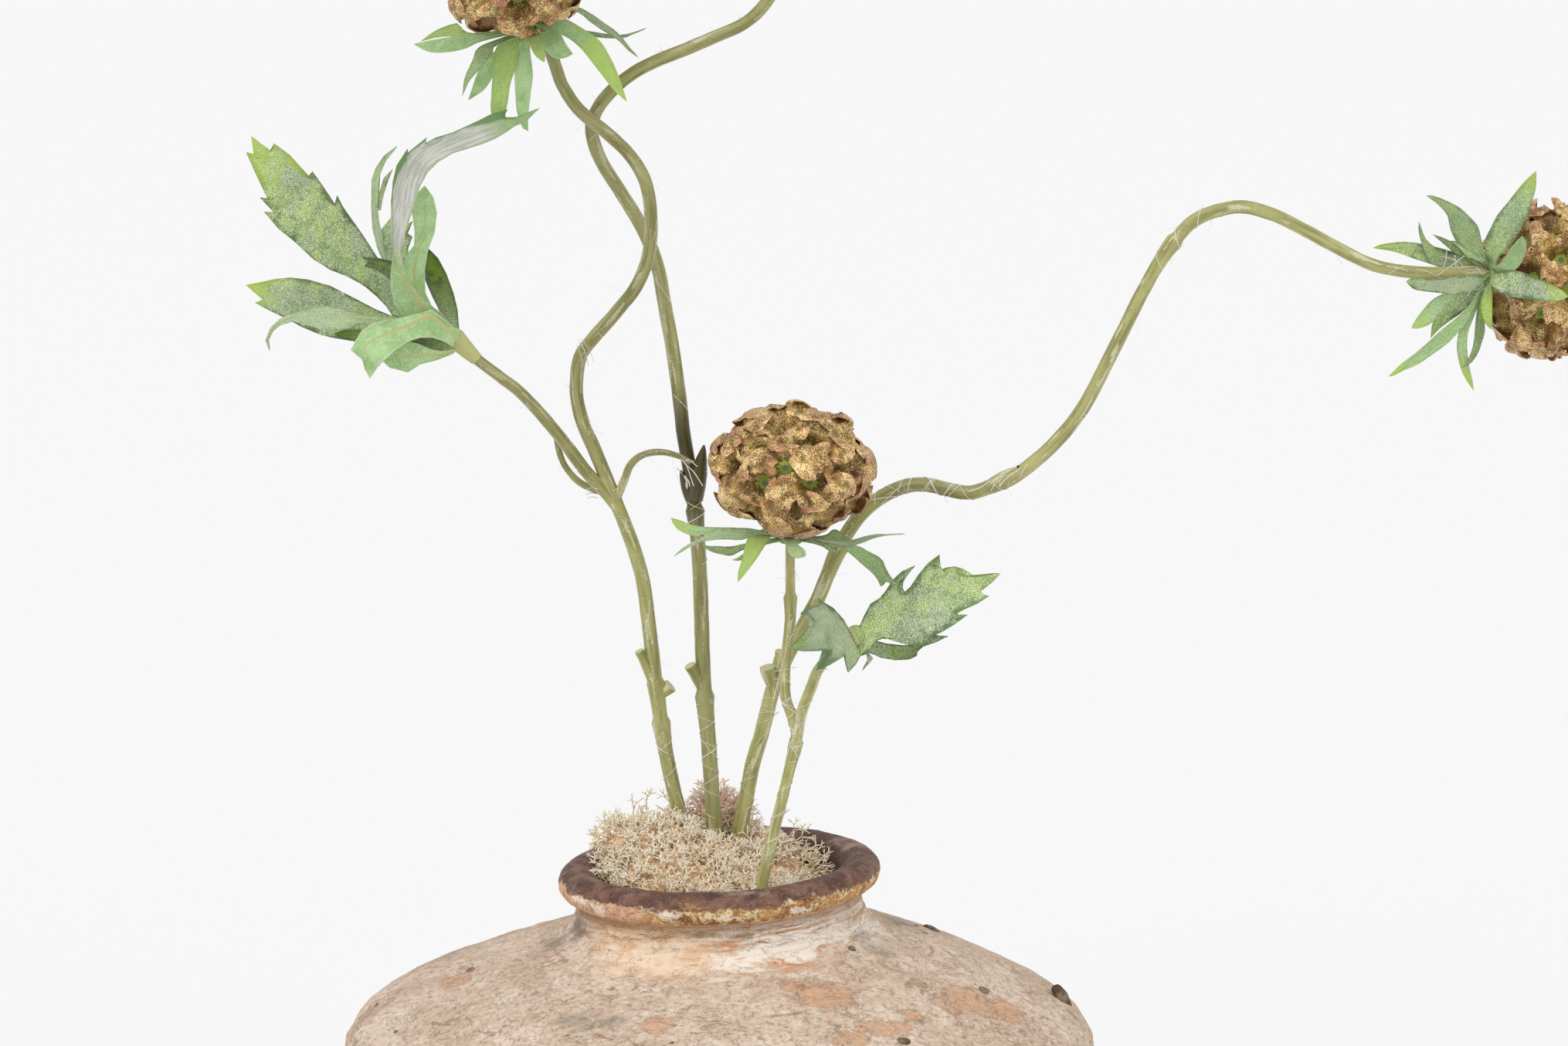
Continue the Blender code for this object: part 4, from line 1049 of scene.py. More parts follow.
# %% Routes of the stems
STEMS = {
    "stem_left": {
        "route": [
            (-12, 20, -78), (-12, 20, -45), (-12, 20, -18), (-12.7, 20, 0), (-14, 20, 12), (-16, 20, 21),
            (-18.6, 19, 34.5), (-20.6, 18, 49), (-22.4, 17, 64), (-24.1, 16, 80), (-25.9, 16, 93),
            (-29.3, 15, 106), (-34.2, 15, 119), (-41.6, 13, 138), (-46, 11, 149), (-47.9, 10, 160),
            (-46.6, 9, 171), (-42.3, 8, 177.5), (-34.5, 8, 186.5), (-27.2, 8, 196), (-23.3, 8, 206.7),
            (-22.5, 7, 218.5), (-24.2, 6, 231), (-29.6, 5, 240.5), (-37.2, 4, 248), (-46.2, 3, 255.7),
            (-51.7, 2.5, 264)],
        "radii": (2.7, 2.1),
        "head": "left",
        "branches": [
            ([(-34.2, 15, 119), (-40, 14, 126), (-45.3, 13, 132), (-54.6, 11, 145), (-65.6, 8, 158.3),
              (-73.3, 6, 165), (-80.4, 4.2, 170.8)],
             (2.1, 1.9)),
            ([(-35, 15, 121), (-31.8, 12, 129), (-29.7, 10, 134.4), (-25.5, 8, 138.1), (-19.5, 7, 139.2),
              (-13.3, 6, 137.9), (-9.6, 6, 135.8)],
             (1.4, 0.9)),
            ([(-36.3, 15.5, 123.5), (-44.1, 18, 125.1), (-48.8, 19, 127.9), (-52.5, 19, 132.9),
              (-54.3, 18.5, 138.2), (-55.5, 17, 144.5)],
             (1.2, 0.9))],
        "stubs": [
            ((-22.5, 17, 59), (-27.3, 15, 69.2), 2.0, 1.5),
            ((-20.5, 18, 53), (-16.4, 17.5, 56.5), 2.0, 2.3)],
        "rings": [(-19.8, 18.4, 43.4), (-21.6, 17.5, 57)],
    },
    "stem_tall": {
        "route": [
            (-1.2, 12, -78), (-1.2, 12, -45), (-1.3, 12, -18), (-1.6, 12, 0), (-1.9, 12, 8),
            (-2.7, 12, 23), (-3.5, 13, 36), (-5, 14, 54), (-5.8, 15, 74), (-6.5, 16, 96), (-7.8, 17, 114),
            (-9.9, 18, 131), (-12, 19, 143.7), (-13.8, 20, 159.5), (-16.1, 21, 175), (-18.4, 22, 187.7),
            (-20.7, 22, 200.4), (-25.6, 22, 213), (-33.1, 21, 225.8), (-39.5, 20, 236.4),
            (-42.6, 20, 245.8), (-41.5, 19, 252.2), (-37.3, 19, 258.5), (-29.7, 18, 265.4),
            (-21.2, 17, 270.2), (-9.8, 16, 275), (0.1, 15, 279.3), (8.9, 14, 283.5), (15.1, 12, 289.5),
            (20.8, 10, 298), (28.5, 8, 309), (34.9, 6, 320.6), (37, 4, 328)],
        "radii": (2.9, 2.0),
        "head": "tall",
        "branches": [],
        "stubs": [
            ((-8.4, 17.5, 121), (-5.0, 16, 140), 2.9, 1.1),
            ((-8.8, 17.5, 120), (-13.0, 16.5, 131.2), 2.1, 1.1),
            ((-5.2, 14, 56), (-10, 11, 65), 2.0, 1.8)],
        "rings": [(-8.3, 17.2, 118), (-5, 14, 54)],
    },
    "stem_right": {
        "route": [
            (3.4, 19, -78), (3.4, 19, -45), (3.8, 19, -18), (5.2, 18, -2), (6.6, 17, 6), (9, 16, 17),
            (11.2, 15.5, 29), (14.4, 15, 40.2), (17.3, 16, 52), (20.2, 16, 61), (24.7, 17, 70),
            (29.1, 18, 78), (33.9, 19, 87.2), (38.6, 20, 98.8), (43.5, 20, 108.9), (50.1, 20, 117.5),
            (59.2, 19, 123.8), (69.1, 18, 126.1), (83.2, 16, 123.6), (91.3, 15, 125.6), (99.1, 14, 129),
            (108.9, 12, 137), (116.6, 10, 145.3), (123.2, 8, 155), (128.2, 6, 165), (132.7, 4, 174.8),
            (137.3, 3, 184.4), (141.3, 2, 193), (146.8, 1, 203.6), (152.4, 0, 212), (160, 0, 219.6),
            (172.9, 0, 223.6), (184.6, 2, 221), (196.5, 4, 215), (207, 7, 209), (220, 11, 202.3),
            (234, 15, 199.2), (249, 18, 198.6)],
        "radii": (2.8, 2.1),
        "head": "right",
        "branches": [],
        "stubs": [
            ((18.4, 15.2, 54), (16.4, 12.8, 64), 1.6, 2.5), ((19.5, 16, 62), (20.7, 13, 69.4), 1.9, 1.5),
            ((91.3, 15, 126), (100.9, 13.5, 132.9), 1.9, 1.1)],
        "rings": [(41, 20, 104), (152.4, 0, 212)],
    },
    "stem_front": {
        "route": [
            (13, -27, -70), (13, -27, -45), (13.2, -28, -18), (14.8, -29, -1), (17.4, -29, 10),
            (19.2, -28, 18.4), (21.8, -28, 29), (24.1, -27, 38.4), (26.2, -26.5, 48), (24.8, -26, 55),
            (22.6, -25, 62), (22.6, -24, 73), (23.8, -22, 85), (24.2, -20.5, 88)],
        "radii": (2.2, 1.6),
        "head": "front",
        "branches": [
            ([(26.2, -26.5, 48), (28, -27, 57), (31.1, -28, 65.6), (33.6, -29, 72), (38, -29, 77.5)],
             (1.8, 1.7))],
        "stubs": [],
        "rings": [(26, -26.5, 46.5), (24.2, -20, 94)],
    },
}

# Heads: middle of the bract collar, and the way that the flower faces
HEADS = {
    "left": ((-58.6, 1, 284), (-0.30, -0.25, 0.92)),
    "front": ((24.2, -19, 115), (0.03, 0.02, 1)),
    "right": ((260.5, 22, 198), (0.9, 0.4, -0.17)),
    "tall": ((38.8, 1.5, 336.5), (0.18, -0.2, 0.96)),
}
COLLAR_DROP = 23.0                       # from a head's middle down to its collar


def head_frame(name):
    """Middle of a head's collar and the unit vector along its stem, towards the flower."""
    place, axis = HEADS[name]
    return lifted(place), Vector(axis).normalized()


def stem_path(name):
    """The stem's own line, fine enough to look smooth, up into its flower."""
    collar, axis = head_frame(STEMS[name]["head"])
    seat = collar - axis * 1.5
    route = [lifted(point) for point in STEMS[name]["route"]]
    route += [route[-1].lerp(seat - axis * 4, 0.5), seat - axis * 2, seat + axis * 5]
    return smooth_path(route, 2.0)


# %% Lines of the stems, with their thickness
BUD_TIP = 1.1                            # a stub this thin at its end is a pointed bud
BUD = (1.05, 1.1, 1, 0.66, 0.36, 0.14, 0.08)         # its radii, as shares of the radius at its foot
CUT_END = (1.05, 1.12, 1.1, 0.9)         # the last radii of another stub, as shares of its end's radius


def step_at(path, places, thick):
    """Sheaths: the plastic swells over 14 mm before each place and ends there in a step."""
    lengths = [0.0]
    for near, far in zip(path, path[1:]):
        lengths.append(lengths[-1] + (far - near).length)
    radii = np.interp(lengths, [0, lengths[-1]], thick)
    for place in places:
        end = lengths[min(range(len(path)), key=lambda index: (path[index] - lifted(place)).length)]
        for index, far in enumerate(lengths):
            if end - 14 < far <= end:
                radii[index] += 0.75 * ((far - end + 14) / 14) ** 2
    return radii


def stem_lines(name):
    """Every line of a stem: its points, its radii, and whether the end is a fresh cut."""
    stem = STEMS[name]
    trunk = stem_path(name)
    radii = step_at(trunk, stem["rings"], stem["radii"])
    radii[-4:] = np.minimum(radii[-4:], [1.9, 1.6, 1.3, 1.1])
    lines = [(trunk, radii, False)]
    for number, (route, thick) in enumerate(stem["branches"]):
        path = smooth_path([lifted(point) for point in route], 1.6)
        if number == 0:
            path.append(path[-1] + (path[-1] - path[-2]).normalized() * 5)
        lines.append((path, np.linspace(thick[0] * 1.12, thick[1], len(path)), False))
    for foot, tip, thick, thin in stem["stubs"]:
        foot, tip = lifted(foot), lifted(tip)
        path = [foot.lerp(tip, share) for share in (0, 0.25, 0.5, 0.75, 0.9, 0.985, 1)]
        radii = [thick * 1.1, thick, thick * 0.55 + thin * 0.5] + [thin * part for part in CUT_END]
        if thin == BUD_TIP:
            radii = [thick * part for part in BUD]
        lines.append((path, radii, thin != BUD_TIP))
    return lines


def line_mesh(name, lines, tone):
    """A mesh of bare lines whose points carry thick, cut and tone."""
    points, edges, thick, cut, tones = [], [], [], [], []
    for path, radii, is_cut in lines:
        for index, (point, radius) in enumerate(zip(path, radii)):
            if index:
                edges.append((len(points) - 1, len(points)))
            points.append(point * MM)
            thick.append(radius * MM)
            cut.append(1.0 if is_cut and index == len(path) - 1 else 0.0)
            tones.append(tone(point))
    mesh = bpy.data.meshes.new(name)
    mesh.from_pydata(points, edges, [])
    for key, table in (("thick", thick), ("cut", cut), ("tone", tones)):
        carry(mesh, key, table)
    return new_object(name, mesh)


# %% [markdown]
# ### Their plastic
#
# Moulded plastic, sprayed olive: paler streaks run lengthwise, a few spots of yellow green, and a
# soft gleam, where the plastic is glossier and pale streaks are painted in as highlights. Stretches
# that lie in shade are darkened with painted shade. The pattern follows the skin, so it reads the
# place round and along the stem.

# %% Olive plastic
plastic = Paint("olive_plastic")


def lengthwise(pull):
    """Noise place that follows the skin, drawn out along the stem."""
    skin = plastic.vector("round")
    return plastic.combined(skin.axis("X") * 0.0011, skin.axis("Y") * 0.0011, plastic.value("along") * pull)


streak = plastic.noise(0.8, 3, 0.5, 0.0, lengthwise(0.035))
gleam = plastic.noise(0.9, 2, 0.5, 0.0, lengthwise(0.06))
patch = plastic.noise(11, 4, 0.6)
speck = plastic.noise(0.8, 2, 0.6)
colour = plastic.layers(
    plastic.mix(streak.between(0.34, 0.66), tint(138, 136, 76), tint(178, 175, 114)),
    (patch.between(0.45, 0.7) * 0.6, tint(190, 188, 122)),
    # painted highlight: pale gleam streaks along the stem
    ((gleam + (speck - 0.5) * 0.3).between(0.56, 0.66) * 0.6, tint(230, 226, 192)),
    (speck.between(0.64, 0.72) * 0.25, tint(108, 102, 54)),
    # tone: the junction's own near black, and painted shade along stretches of the stems
    (plastic.value("tone"), tint(58, 52, 14)),
    (plastic.value("cut"), tint(196, 192, 146)))
olive_plastic = plastic.done(colour, gleam.between(0.4, 0.6, 0.42, 0.22),
                             plastic.bump(speck, 0.08, 0.5, plastic.bump(streak, 0.2, 0.7)),
                             Specular_IOR_Level=0.5, Coat_Weight=0.1)


def stem_tone(name):
    """How dark the plastic is at a point of a stem.

    Painted shade makes the whole tall stem darker than the rest, the left one darker in its upper
    half, and the right one greyed in a stretch where it bends over. Round the tall stem's junction
    the plastic itself is nearly black.
    """
    def tone(point):
        height = point.z - POT_HEIGHT
        dark = math.exp(-((height - 134) / 26) ** 4) if name == "stem_tall" and point.x < 10 else 0.0
        # painted shade along whole stretches of some stems
        painted_shade = {"stem_tall": 0.24, "stem_left": 0.3 if height > 130 else 0.0,
                  "stem_right": 0.35 * math.exp(-((point.x - 66) / 17) ** 4), "stem_front": 0.0}[name]
        return min(1.0, max(painted_shade, 0.95 * dark) + 0.12 * max(0.0, rough_noise(point, 26)))
    return tone


for name in STEMS:
    stem = line_mesh(name + "_coated", stem_lines(name), stem_tone(name))
    run_tree(stem, coat, {"Sides": 14, "Unevenness": 0.0002, "Unevenness Size": 190.0,
                          "Material": olive_plastic})
    stem.data.shade_smooth()
    stem.data.set_sharp_from_angle(angle=math.radians(50))
    settle(stem, "stem_plastic", name)

# %% [markdown]
# ### Threads
#
# The coating is held with thin white threads, wound round the stems and frayed where one stem is
# tied to another. A wound thread is a helix that hugs the skin. A loose one is placed where the eye
# sees it: its points are pushed along the line of sight on to the front of the stem that carries
# it, and a fibre that leaves the stem goes on at that depth. Fine hairs stand off the skin.

# %% Wound and loose threads
THREAD, HAIR = 0.15, 0.05                # half thickness
# Stem, from and to as places on it, and the number of threads wound there
WINDINGS = [
    ("stem_right", (52, 20, 118), (101, 14, 130), 5), ("stem_right", (14, 15, 40), (25, 17, 70), 2),
    ("stem_right", (5, 18, -2), (11, 15.5, 29), 2), ("stem_right", (146, 1, 203), (173, 0, 224), 1),
    ("stem_tall", (-6.5, 16, 96), (-9.9, 18, 131), 2), ("stem_tall", (-2, 12, 8), (-5, 14, 54), 2),
    ("stem_front", (14.8, -29, -1), (24, -27, 38), 2), ("stem_front", (24, -27, 38), (22.6, -24, 73), 3),
    ("stem_left", (-14, 18, 10), (-22, 17, 59), 2)]
# Loose threads: half thickness, and their places in the photo
LOOSE = [
    (0.22, [(884, 596), (890, 603), (899, 612), (910, 629)]), (0.2, [(882, 594), (890, 605), (898, 629)]),
    (0.18, [(886, 596), (895, 598), (903, 604)]), (0.16, [(884, 594), (892, 595), (899, 598)]),
    (0.2, [(876, 606), (881, 611), (888, 620)]), (0.35, [(886, 617), (889, 624), (890, 631)]),
    (0.35, [(888, 618), (892, 624), (893, 630)]), (0.3, [(887, 616), (890, 621), (893, 626)]),
    (0.2, [(1861, 357), (1879, 344), (1896, 331)]), (0.18, [(1849, 376), (1858, 366), (1866, 360)]),
    (0.18, [(1887, 386), (1896, 378), (1895, 365)]), (0.17, [(1901, 383), (1904, 374), (1905, 365)]),
    (0.2, [(1896, 330), (1909, 343), (1926, 364), (1930, 367)]),
    (0.18, [(1898, 350), (1913, 349), (1934, 353)]), (0.18, [(1873, 324), (1872, 335), (1869, 346)]),
    (0.15, [(1865, 332), (1883, 336), (1896, 346)]), (0.15, [(1880, 334), (1886, 341), (1890, 350)]),
    (0.15, [(1884, 330), (1884, 339), (1886, 348)]), (0.15, [(1864, 362), (1861, 370), (1858, 378)]),
    (0.15, [(1866, 364), (1874, 364), (1883, 363)]),
    (0.15, [(1901, 364), (1908, 375), (1917, 372), (1920, 367)]),
    (0.15, [(1893, 352), (1901, 358), (1907, 366)]), (0.14, [(1834, 348), (1849, 352), (1866, 361)]),
    (0.15, [(1797, 355), (1807, 349), (1819, 345)]), (0.2, [(889, 622), (888, 628), (890, 633)]),
    (0.12, [(801, 668), (810, 671), (818, 677)]), (0.12, [(811, 671), (810, 680), (806, 689)]),
    (0.12, [(793, 636), (800, 632)]), (0.13, [(804, 643), (805, 631), (808, 620)]),
    (0.12, [(828, 591), (841, 586), (855, 584), (867, 586)]),
    (0.13, [(848, 359), (857, 374), (868, 391)]), (0.13, [(872, 511), (881, 520), (890, 530)]),
    (0.16, [(748, 440), (756, 452), (762, 474)]), (0.13, [(752, 438), (761, 450), (769, 468)]),
    (0.12, [(746, 446), (752, 460), (754, 475)]), (0.2, [(759, 634), (766, 631), (774, 633)]),
    (0.2, [(759, 640), (766, 638), (775, 640)]), (0.2, [(760, 645), (767, 643), (774, 645)]),
    (0.07, [(869, 589), (873, 606), (880, 625)]), (0.1, [(893, 660), (901, 655), (908, 649)]),
    (0.2, [(1129, 647), (1141, 645), (1162, 642)]), (0.18, [(1140, 653), (1151, 643), (1166, 629)]),
    (0.22, [(1253, 637), (1268, 632), (1284, 621)]), (0.18, [(1282, 636), (1289, 626), (1297, 620)]),
    (0.26, [(1293, 630), (1305, 618), (1320, 607)]), (0.18, [(1319, 624), (1323, 612), (1330, 601)]),
    (0.16, [(1290, 616), (1298, 618), (1312, 612)]), (0.12, [(1296, 612), (1294, 624), (1296, 632)]),
    (0.14, [(1029, 813), (1020, 835), (1013, 862), (1001, 906)]),
    (0.1, [(1025, 823), (1017, 834), (1014, 838)]), (0.12, [(1003, 869), (1015, 867), (1033, 863)]),
    (0.1, [(1001, 860), (1012, 868), (1024, 879)]), (0.12, [(1001, 879), (1008, 879), (1012, 882)]),
    (0.14, [(1023, 902), (1017, 914), (1015, 918)]), (0.15, [(988, 919), (998, 922), (1008, 923)]),
    (0.15, [(986, 936), (996, 931), (1009, 921)]), (0.12, [(1034, 917), (1045, 912), (1053, 905)]),
    (0.1, [(1038, 907), (1046, 900), (1054, 895)]), (0.13, [(1026, 949), (1034, 940), (1041, 935)]),
    (0.13, [(1040, 916), (1041, 930), (1038, 950)]), (0.1, [(1026, 925), (1034, 933), (1041, 938)]),
    (0.12, [(1028, 948), (1033, 952), (1036, 963)]), (0.1, [(1031, 921), (1035, 937), (1036, 958)]),
    (0.1, [(1029, 939), (1036, 930), (1042, 929)]), (0.15, [(1056, 869), (1064, 867), (1072, 866)]),
    (0.1, [(1058, 872), (1065, 870), (1069, 864)]), (0.1, [(1054, 879), (1059, 876), (1063, 871)]),
    (0.15, [(911, 961), (922, 975), (931, 983)]), (0.12, [(978, 964), (985, 956), (992, 950)]),
    (0.15, [(841, 777), (840, 797), (835, 819)]), (0.12, [(983, 1102), (993, 1109), (1001, 1101)]),
    (0.15, [(974, 1112), (985, 1112), (999, 1103)])]
EYE_DOT = ((1316.5, 605), (1319.5, 603.5), 0.62)      # a dark bead at the end of the right stem's bud


def skin_rows(names):
    """Points of the stems' middle lines with their half thickness, half a millimetre apart."""
    rows = []
    for name in names:
        for path, radii, _ in stem_lines(name):
            for (near, thin), (far, thick) in zip(zip(path, radii), zip(path[1:], radii[1:])):
                count = max(1, int((far - near).length / 0.5))
                rows += [(*near.lerp(far, step / count), thin + (thick - thin) * step / count)
                         for step in range(count)]
    return np.array(rows)


SKIN = skin_rows(STEMS)


def laid_thread(half, places):
    """A thread seen at these places, laid on the stems in front of the eye."""
    seen = smooth_path([(column, line, 0) for column, line in places], 2.0)
    rays, known = [], []
    for place in seen:
        eye, ray = sight(place.x, place.y)
        away = SKIN[:, :3] - np.array(eye)
        ahead = away @ np.array(ray)
        beside = np.sqrt(np.maximum(0.0, (away ** 2).sum(axis=1) - ahead ** 2))
        front = ahead - np.sqrt(np.maximum(0.0, SKIN[:, 3] ** 2 - beside ** 2)) - half * 0.7
        hit = beside < SKIN[:, 3]
        rays.append((eye, ray))
        known.append(float(front[hit].min()) if hit.any() else math.nan)
        nearest = float(ahead[(beside - SKIN[:, 3]).argmin()])
    known, steps = np.array(known), np.arange(len(known))
    if np.isnan(known).all():
        known[:] = nearest
    good = abs(known - np.nanmin(known)) < 9
    depths = np.interp(steps, steps[good], known[good])
    return [eye + ray * float(depth) for (eye, ray), depth in zip(rays, depths)], [half] * len(rays), False


def wound_thread(name, start, end, draw):
    """A helix round part of a stem."""
    path, radii, _ = stem_lines(name)[0]
    first, last = [min(range(len(path)), key=lambda index: (path[index] - lifted(place)).length)
                   for place in (start, end)]
    part, thick = path[first:last + 1], radii[first:last + 1]
    fine = smooth_path(part, 0.7)
    pull, turn = draw.uniform(5, 15) * draw.choice((1, -1)), draw.uniform(0, math.tau)
    low, high = sorted((draw.uniform(0, 0.5), draw.uniform(0.5, 1)))
    points, walked = [], 0.0
    for index, (middle, (heading, side, across)) in enumerate(zip(fine, frames(fine))):
        walked += 0.7
        if low <= index / len(fine) <= high:
            angle = turn + walked / pull * math.tau
            away = float(np.interp(index / len(fine), np.linspace(0, 1, len(thick)), thick)) + THREAD * 0.6
            points.append(middle + (side * math.cos(angle) + across * math.sin(angle)) * away)
    return points, [THREAD * draw.uniform(0.6, 1.1)] * len(points), False


def skin_hair(draw):
    """A fine bent hair that stands off a stem."""
    *foot, thick = SKIN[draw.randrange(len(SKIN))]
    way = Vector((draw.uniform(-1, 1), draw.uniform(-1, 1), draw.uniform(-1, 1))).normalized()
    foot = Vector(foot) + way * float(thick) * 0.9
    bend = Vector((draw.uniform(-1, 1), draw.uniform(-1, 1), draw.uniform(-1, 0.6)))
    long = draw.uniform(1.2, 4.5)
    return [foot, foot + (way + bend * 0.4) * long * 0.5, foot + (way * 0.7 + bend) * long], [HAIR] * 3, False


# %% Make the threads
draw = random.Random(21)
threads = [laid_thread(half, places) for half, places in LOOSE]
threads += [wound_thread(name, start, end, draw)
            for name, start, end, count in WINDINGS for _ in range(count)]
threads += [skin_hair(draw) for _ in range(330)]
dot_path = laid_thread(0.2, EYE_DOT[:2])[0]
round_off = [math.sin(math.pi * (0.15 + 0.7 * index / (len(dot_path) - 1)))
             for index in range(len(dot_path))]
threads.append((dot_path, [EYE_DOT[2] * share for share in round_off], False))
fibre = Paint("white_thread")
pale = fibre.mix(fibre.noise(3), tint(250, 246, 240), tint(226, 210, 202))
fibre_paint = fibre.done(fibre.mix(fibre.value("tone"), pale, tint(20, 18, 18)), 0.6)
bead = dot_path[len(dot_path) // 2]
knotted = line_mesh("stem_threads", threads, lambda point: 1.0 if (point - bead).length < 0.8 else 0.0)
run_tree(knotted, coat, {"Sides": 3, "Unevenness": 0.0, "Material": fibre_paint})
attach(knotted, "root")
print("threads:", len(threads))

# %% [markdown]
# ## Flower heads
#
# Each head is a ball of small ruffled cups of satin, most with a lime green star in the bottom.
# A cup is one disc of cloth: it starts deep in the ball, rises outwards, and its rim is pushed
# into folds by its neighbours. So the cups share out the sphere first, and each then gets a rim
# that follows its own share, with folds that lean over the border. The discs stay flat cloth in
# one respect: every point keeps its place on the cut cloth, and the weave follows that.

# %% Share out the ball
HEAD_RADIUS, HEAD_FLATTEN = 27.2, 0.82
CORE_RADIUS = 17.8
CUPS = 30
BARE_ANGLE = math.radians(33)
# Middles of the cups that face the camera on the front head: (right, up) in units of the radius
FRONT_CUPS = [(-0.10, 0.04), (-0.45, -0.26), (0.26, -0.22), (-0.02, -0.50), (0.27, 0.46), (-0.46, 0.34),
              (0.68, 0.12), (-0.84, 0.0), (-0.10, 0.66), (0.60, -0.55), (-0.60, -0.62), (0.66, 0.60)]
FRONT_HEARTS = [0.82, 0.70, 0.76, 0.66, 0.66]       # how shallow those with a visible star are


def share_out(name, seed):
    """Directions of a head's cups, pushed apart until they are nearly even."""
    draw = random.Random(seed)
    fixed = []
    if name == "front":
        turn = Vector((0, 0, 1)).rotation_difference(head_frame(name)[1]).to_matrix().inverted()
        look = Vector((0, -math.cos(PITCH), math.sin(PITCH)))
        up = Vector((0, math.sin(PITCH), math.cos(PITCH)))
        for right, high in FRONT_CUPS:
            deep = math.sqrt(max(0.05, 1 - right ** 2 - high ** 2))
            fixed.append(turn @ (Vector((1, 0, 0)) * right + up * high + look * deep).normalized())
    spots = list(fixed)
    while len(spots) < CUPS:
        spot = Vector([draw.gauss(0, 1) for _ in range(3)]).normalized()
        if spot.z > -math.cos(BARE_ANGLE) and all(spot.angle(other) > 0.36 for other in spots):
            spots.append(spot)
        elif draw.random() < 0.002:
            break
    for _ in range(30):
        for index in range(len(fixed), len(spots)):
            push = Vector((0, 0, 0.0))
            for other in spots:
                gap = spots[index] - other
                if 0 < gap.length < 0.9:
                    push += gap.normalized() * (0.9 - gap.length) * 0.06
            spots[index] = (spots[index] + push).normalized()
            spots[index].z = max(spots[index].z, -math.cos(BARE_ANGLE) + 0.02)
            spots[index].normalize()
    return spots


# %% One ruffled cup
# How far towards its border, and how high from its heart to its crest, the cloth is along a cup's share
CUP_OUT = ((0, 0.3, 0.52, 0.74, 0.9, 1), (0, 0.36, 0.54, 0.78, 1.0, 1.12))
CUP_RISE = ((0, 0.26, 0.46, 0.70, 0.86, 1), (0, 0.02, 0.30, 0.82, 1.02, 0.96))


def cup_reach(middle, toward, others):
    """Angle from a cup's middle to the border it shares with its nearest neighbour that way."""
    reach = 0.62
    for other in others:
        if toward.dot(other) > 0.05:
            reach = min(reach, math.atan((1 - middle.dot(other)) / toward.dot(other)))
    return reach


def ruffled_cup(middle, others, heart, lead, draw, sides, rows):
    """A disc of satin from the cup's heart to its ruffled rim; one with a lead lies over the others."""
    side = middle.orthogonal().normalized()
    across = middle.cross(side)
    reaches = [cup_reach(middle, side * math.cos(turn) + across * math.sin(turn), others)
               for turn in turns(sides)]
    reaches = np.array(reaches) * (draw.uniform(0.98, 1.18) + lead)
    for _ in range(sides // 4):
        reaches = (np.roll(reaches, 1) + reaches * 2 + np.roll(reaches, -1)) / 4
    lobes = draw.choice((3, 4, 4))
    phase, phase2, phase3, spin = (draw.uniform(0, math.tau) for _ in range(4))
    crest = draw.uniform(0.92, 1.0) + 0.2 * lead
    grid, rim, weave = np.zeros((rows, sides, 3)), np.zeros((rows, sides)), np.zeros((rows, sides, 3))
    for row in range(rows):
        share = 0.10 + 0.90 * row / (rows - 1)
        out, rise = np.interp(share, *CUP_OUT), np.interp(share, *CUP_RISE)
        for number, turn in enumerate(turns(sides)):
            wave = math.sin(lobes * turn + phase) + 0.4 * math.sin((lobes + 1) * turn + phase3)
            fold = math.sin(2 * lobes * turn + phase2)
            swing = turn + (0.13 * fold + 0.07 * math.sin((3 * lobes + 1) * turn + phase3)) * share ** 3
            toward = side * math.cos(swing) + across * math.sin(swing)
            angle = reaches[number] * out * (1 + 0.19 * wave * share ** 2)
            height = crest * (1 + 0.065 * wave + 0.03 * fold * share)
            radius = HEAD_RADIUS * (heart + (height - heart) * rise)
            spot = (middle * math.cos(angle) + toward * math.sin(angle)) * radius
            key = spot + Vector((phase * 9, 0, 0))
            crumple = rough_noise(key, 9, 2) * 3.0 + rough_noise(key, 3.0, 2) * 0.6
            spot *= 1 + crumple * share ** 1.5 / HEAD_RADIUS
            spot += toward * (rough_noise(key, 1.6, 1) * 0.5 * share ** 6)
            longest = HEAD_RADIUS * (1.0 + 0.03 * wave)
            if spot.length > longest:
                spot *= (longest + (spot.length - longest) * 0.25) / spot.length
            grid[row, number] = spot
            rim[row, number] = share
            flat = share * 11
            weave[row, number] = (flat * math.cos(turn + spin), flat * math.sin(turn + spin), phase * 10)
    return cloth(grid, 0.32, True, {"rim": rim, "weave": weave})


def star(middle, radius, base, draw):
    """The green star in a cup's bottom: a low button with rays. Its base is that far from the middle."""
    side = middle.orthogonal().normalized()
    across = middle.cross(side)
    rays, spin = draw.choice((8, 9, 10)), draw.uniform(0, math.tau)
    grid = np.zeros((4, rays * 2, 3))
    for row, (share, rise) in enumerate(((0.15, 0.8), (0.4, 1.1), (0.68, 0.75), (1.0, 0.35))):
        for number, turn in enumerate(turns(rays * 2)):
            turn += spin
            long = radius * share * (1.18 if number % 2 else (1.0 if share < 0.6 else 0.74))
            outward = side * math.cos(turn) + across * math.sin(turn)
            grid[row, number] = middle * (base + rise) + long * outward
    values = {"star": np.tile(np.array([[0.0], [0.35], [0.7], [1.0]]), (1, rays * 2)) + 0.001}
    return cloth(grid, 0.5, True, values)
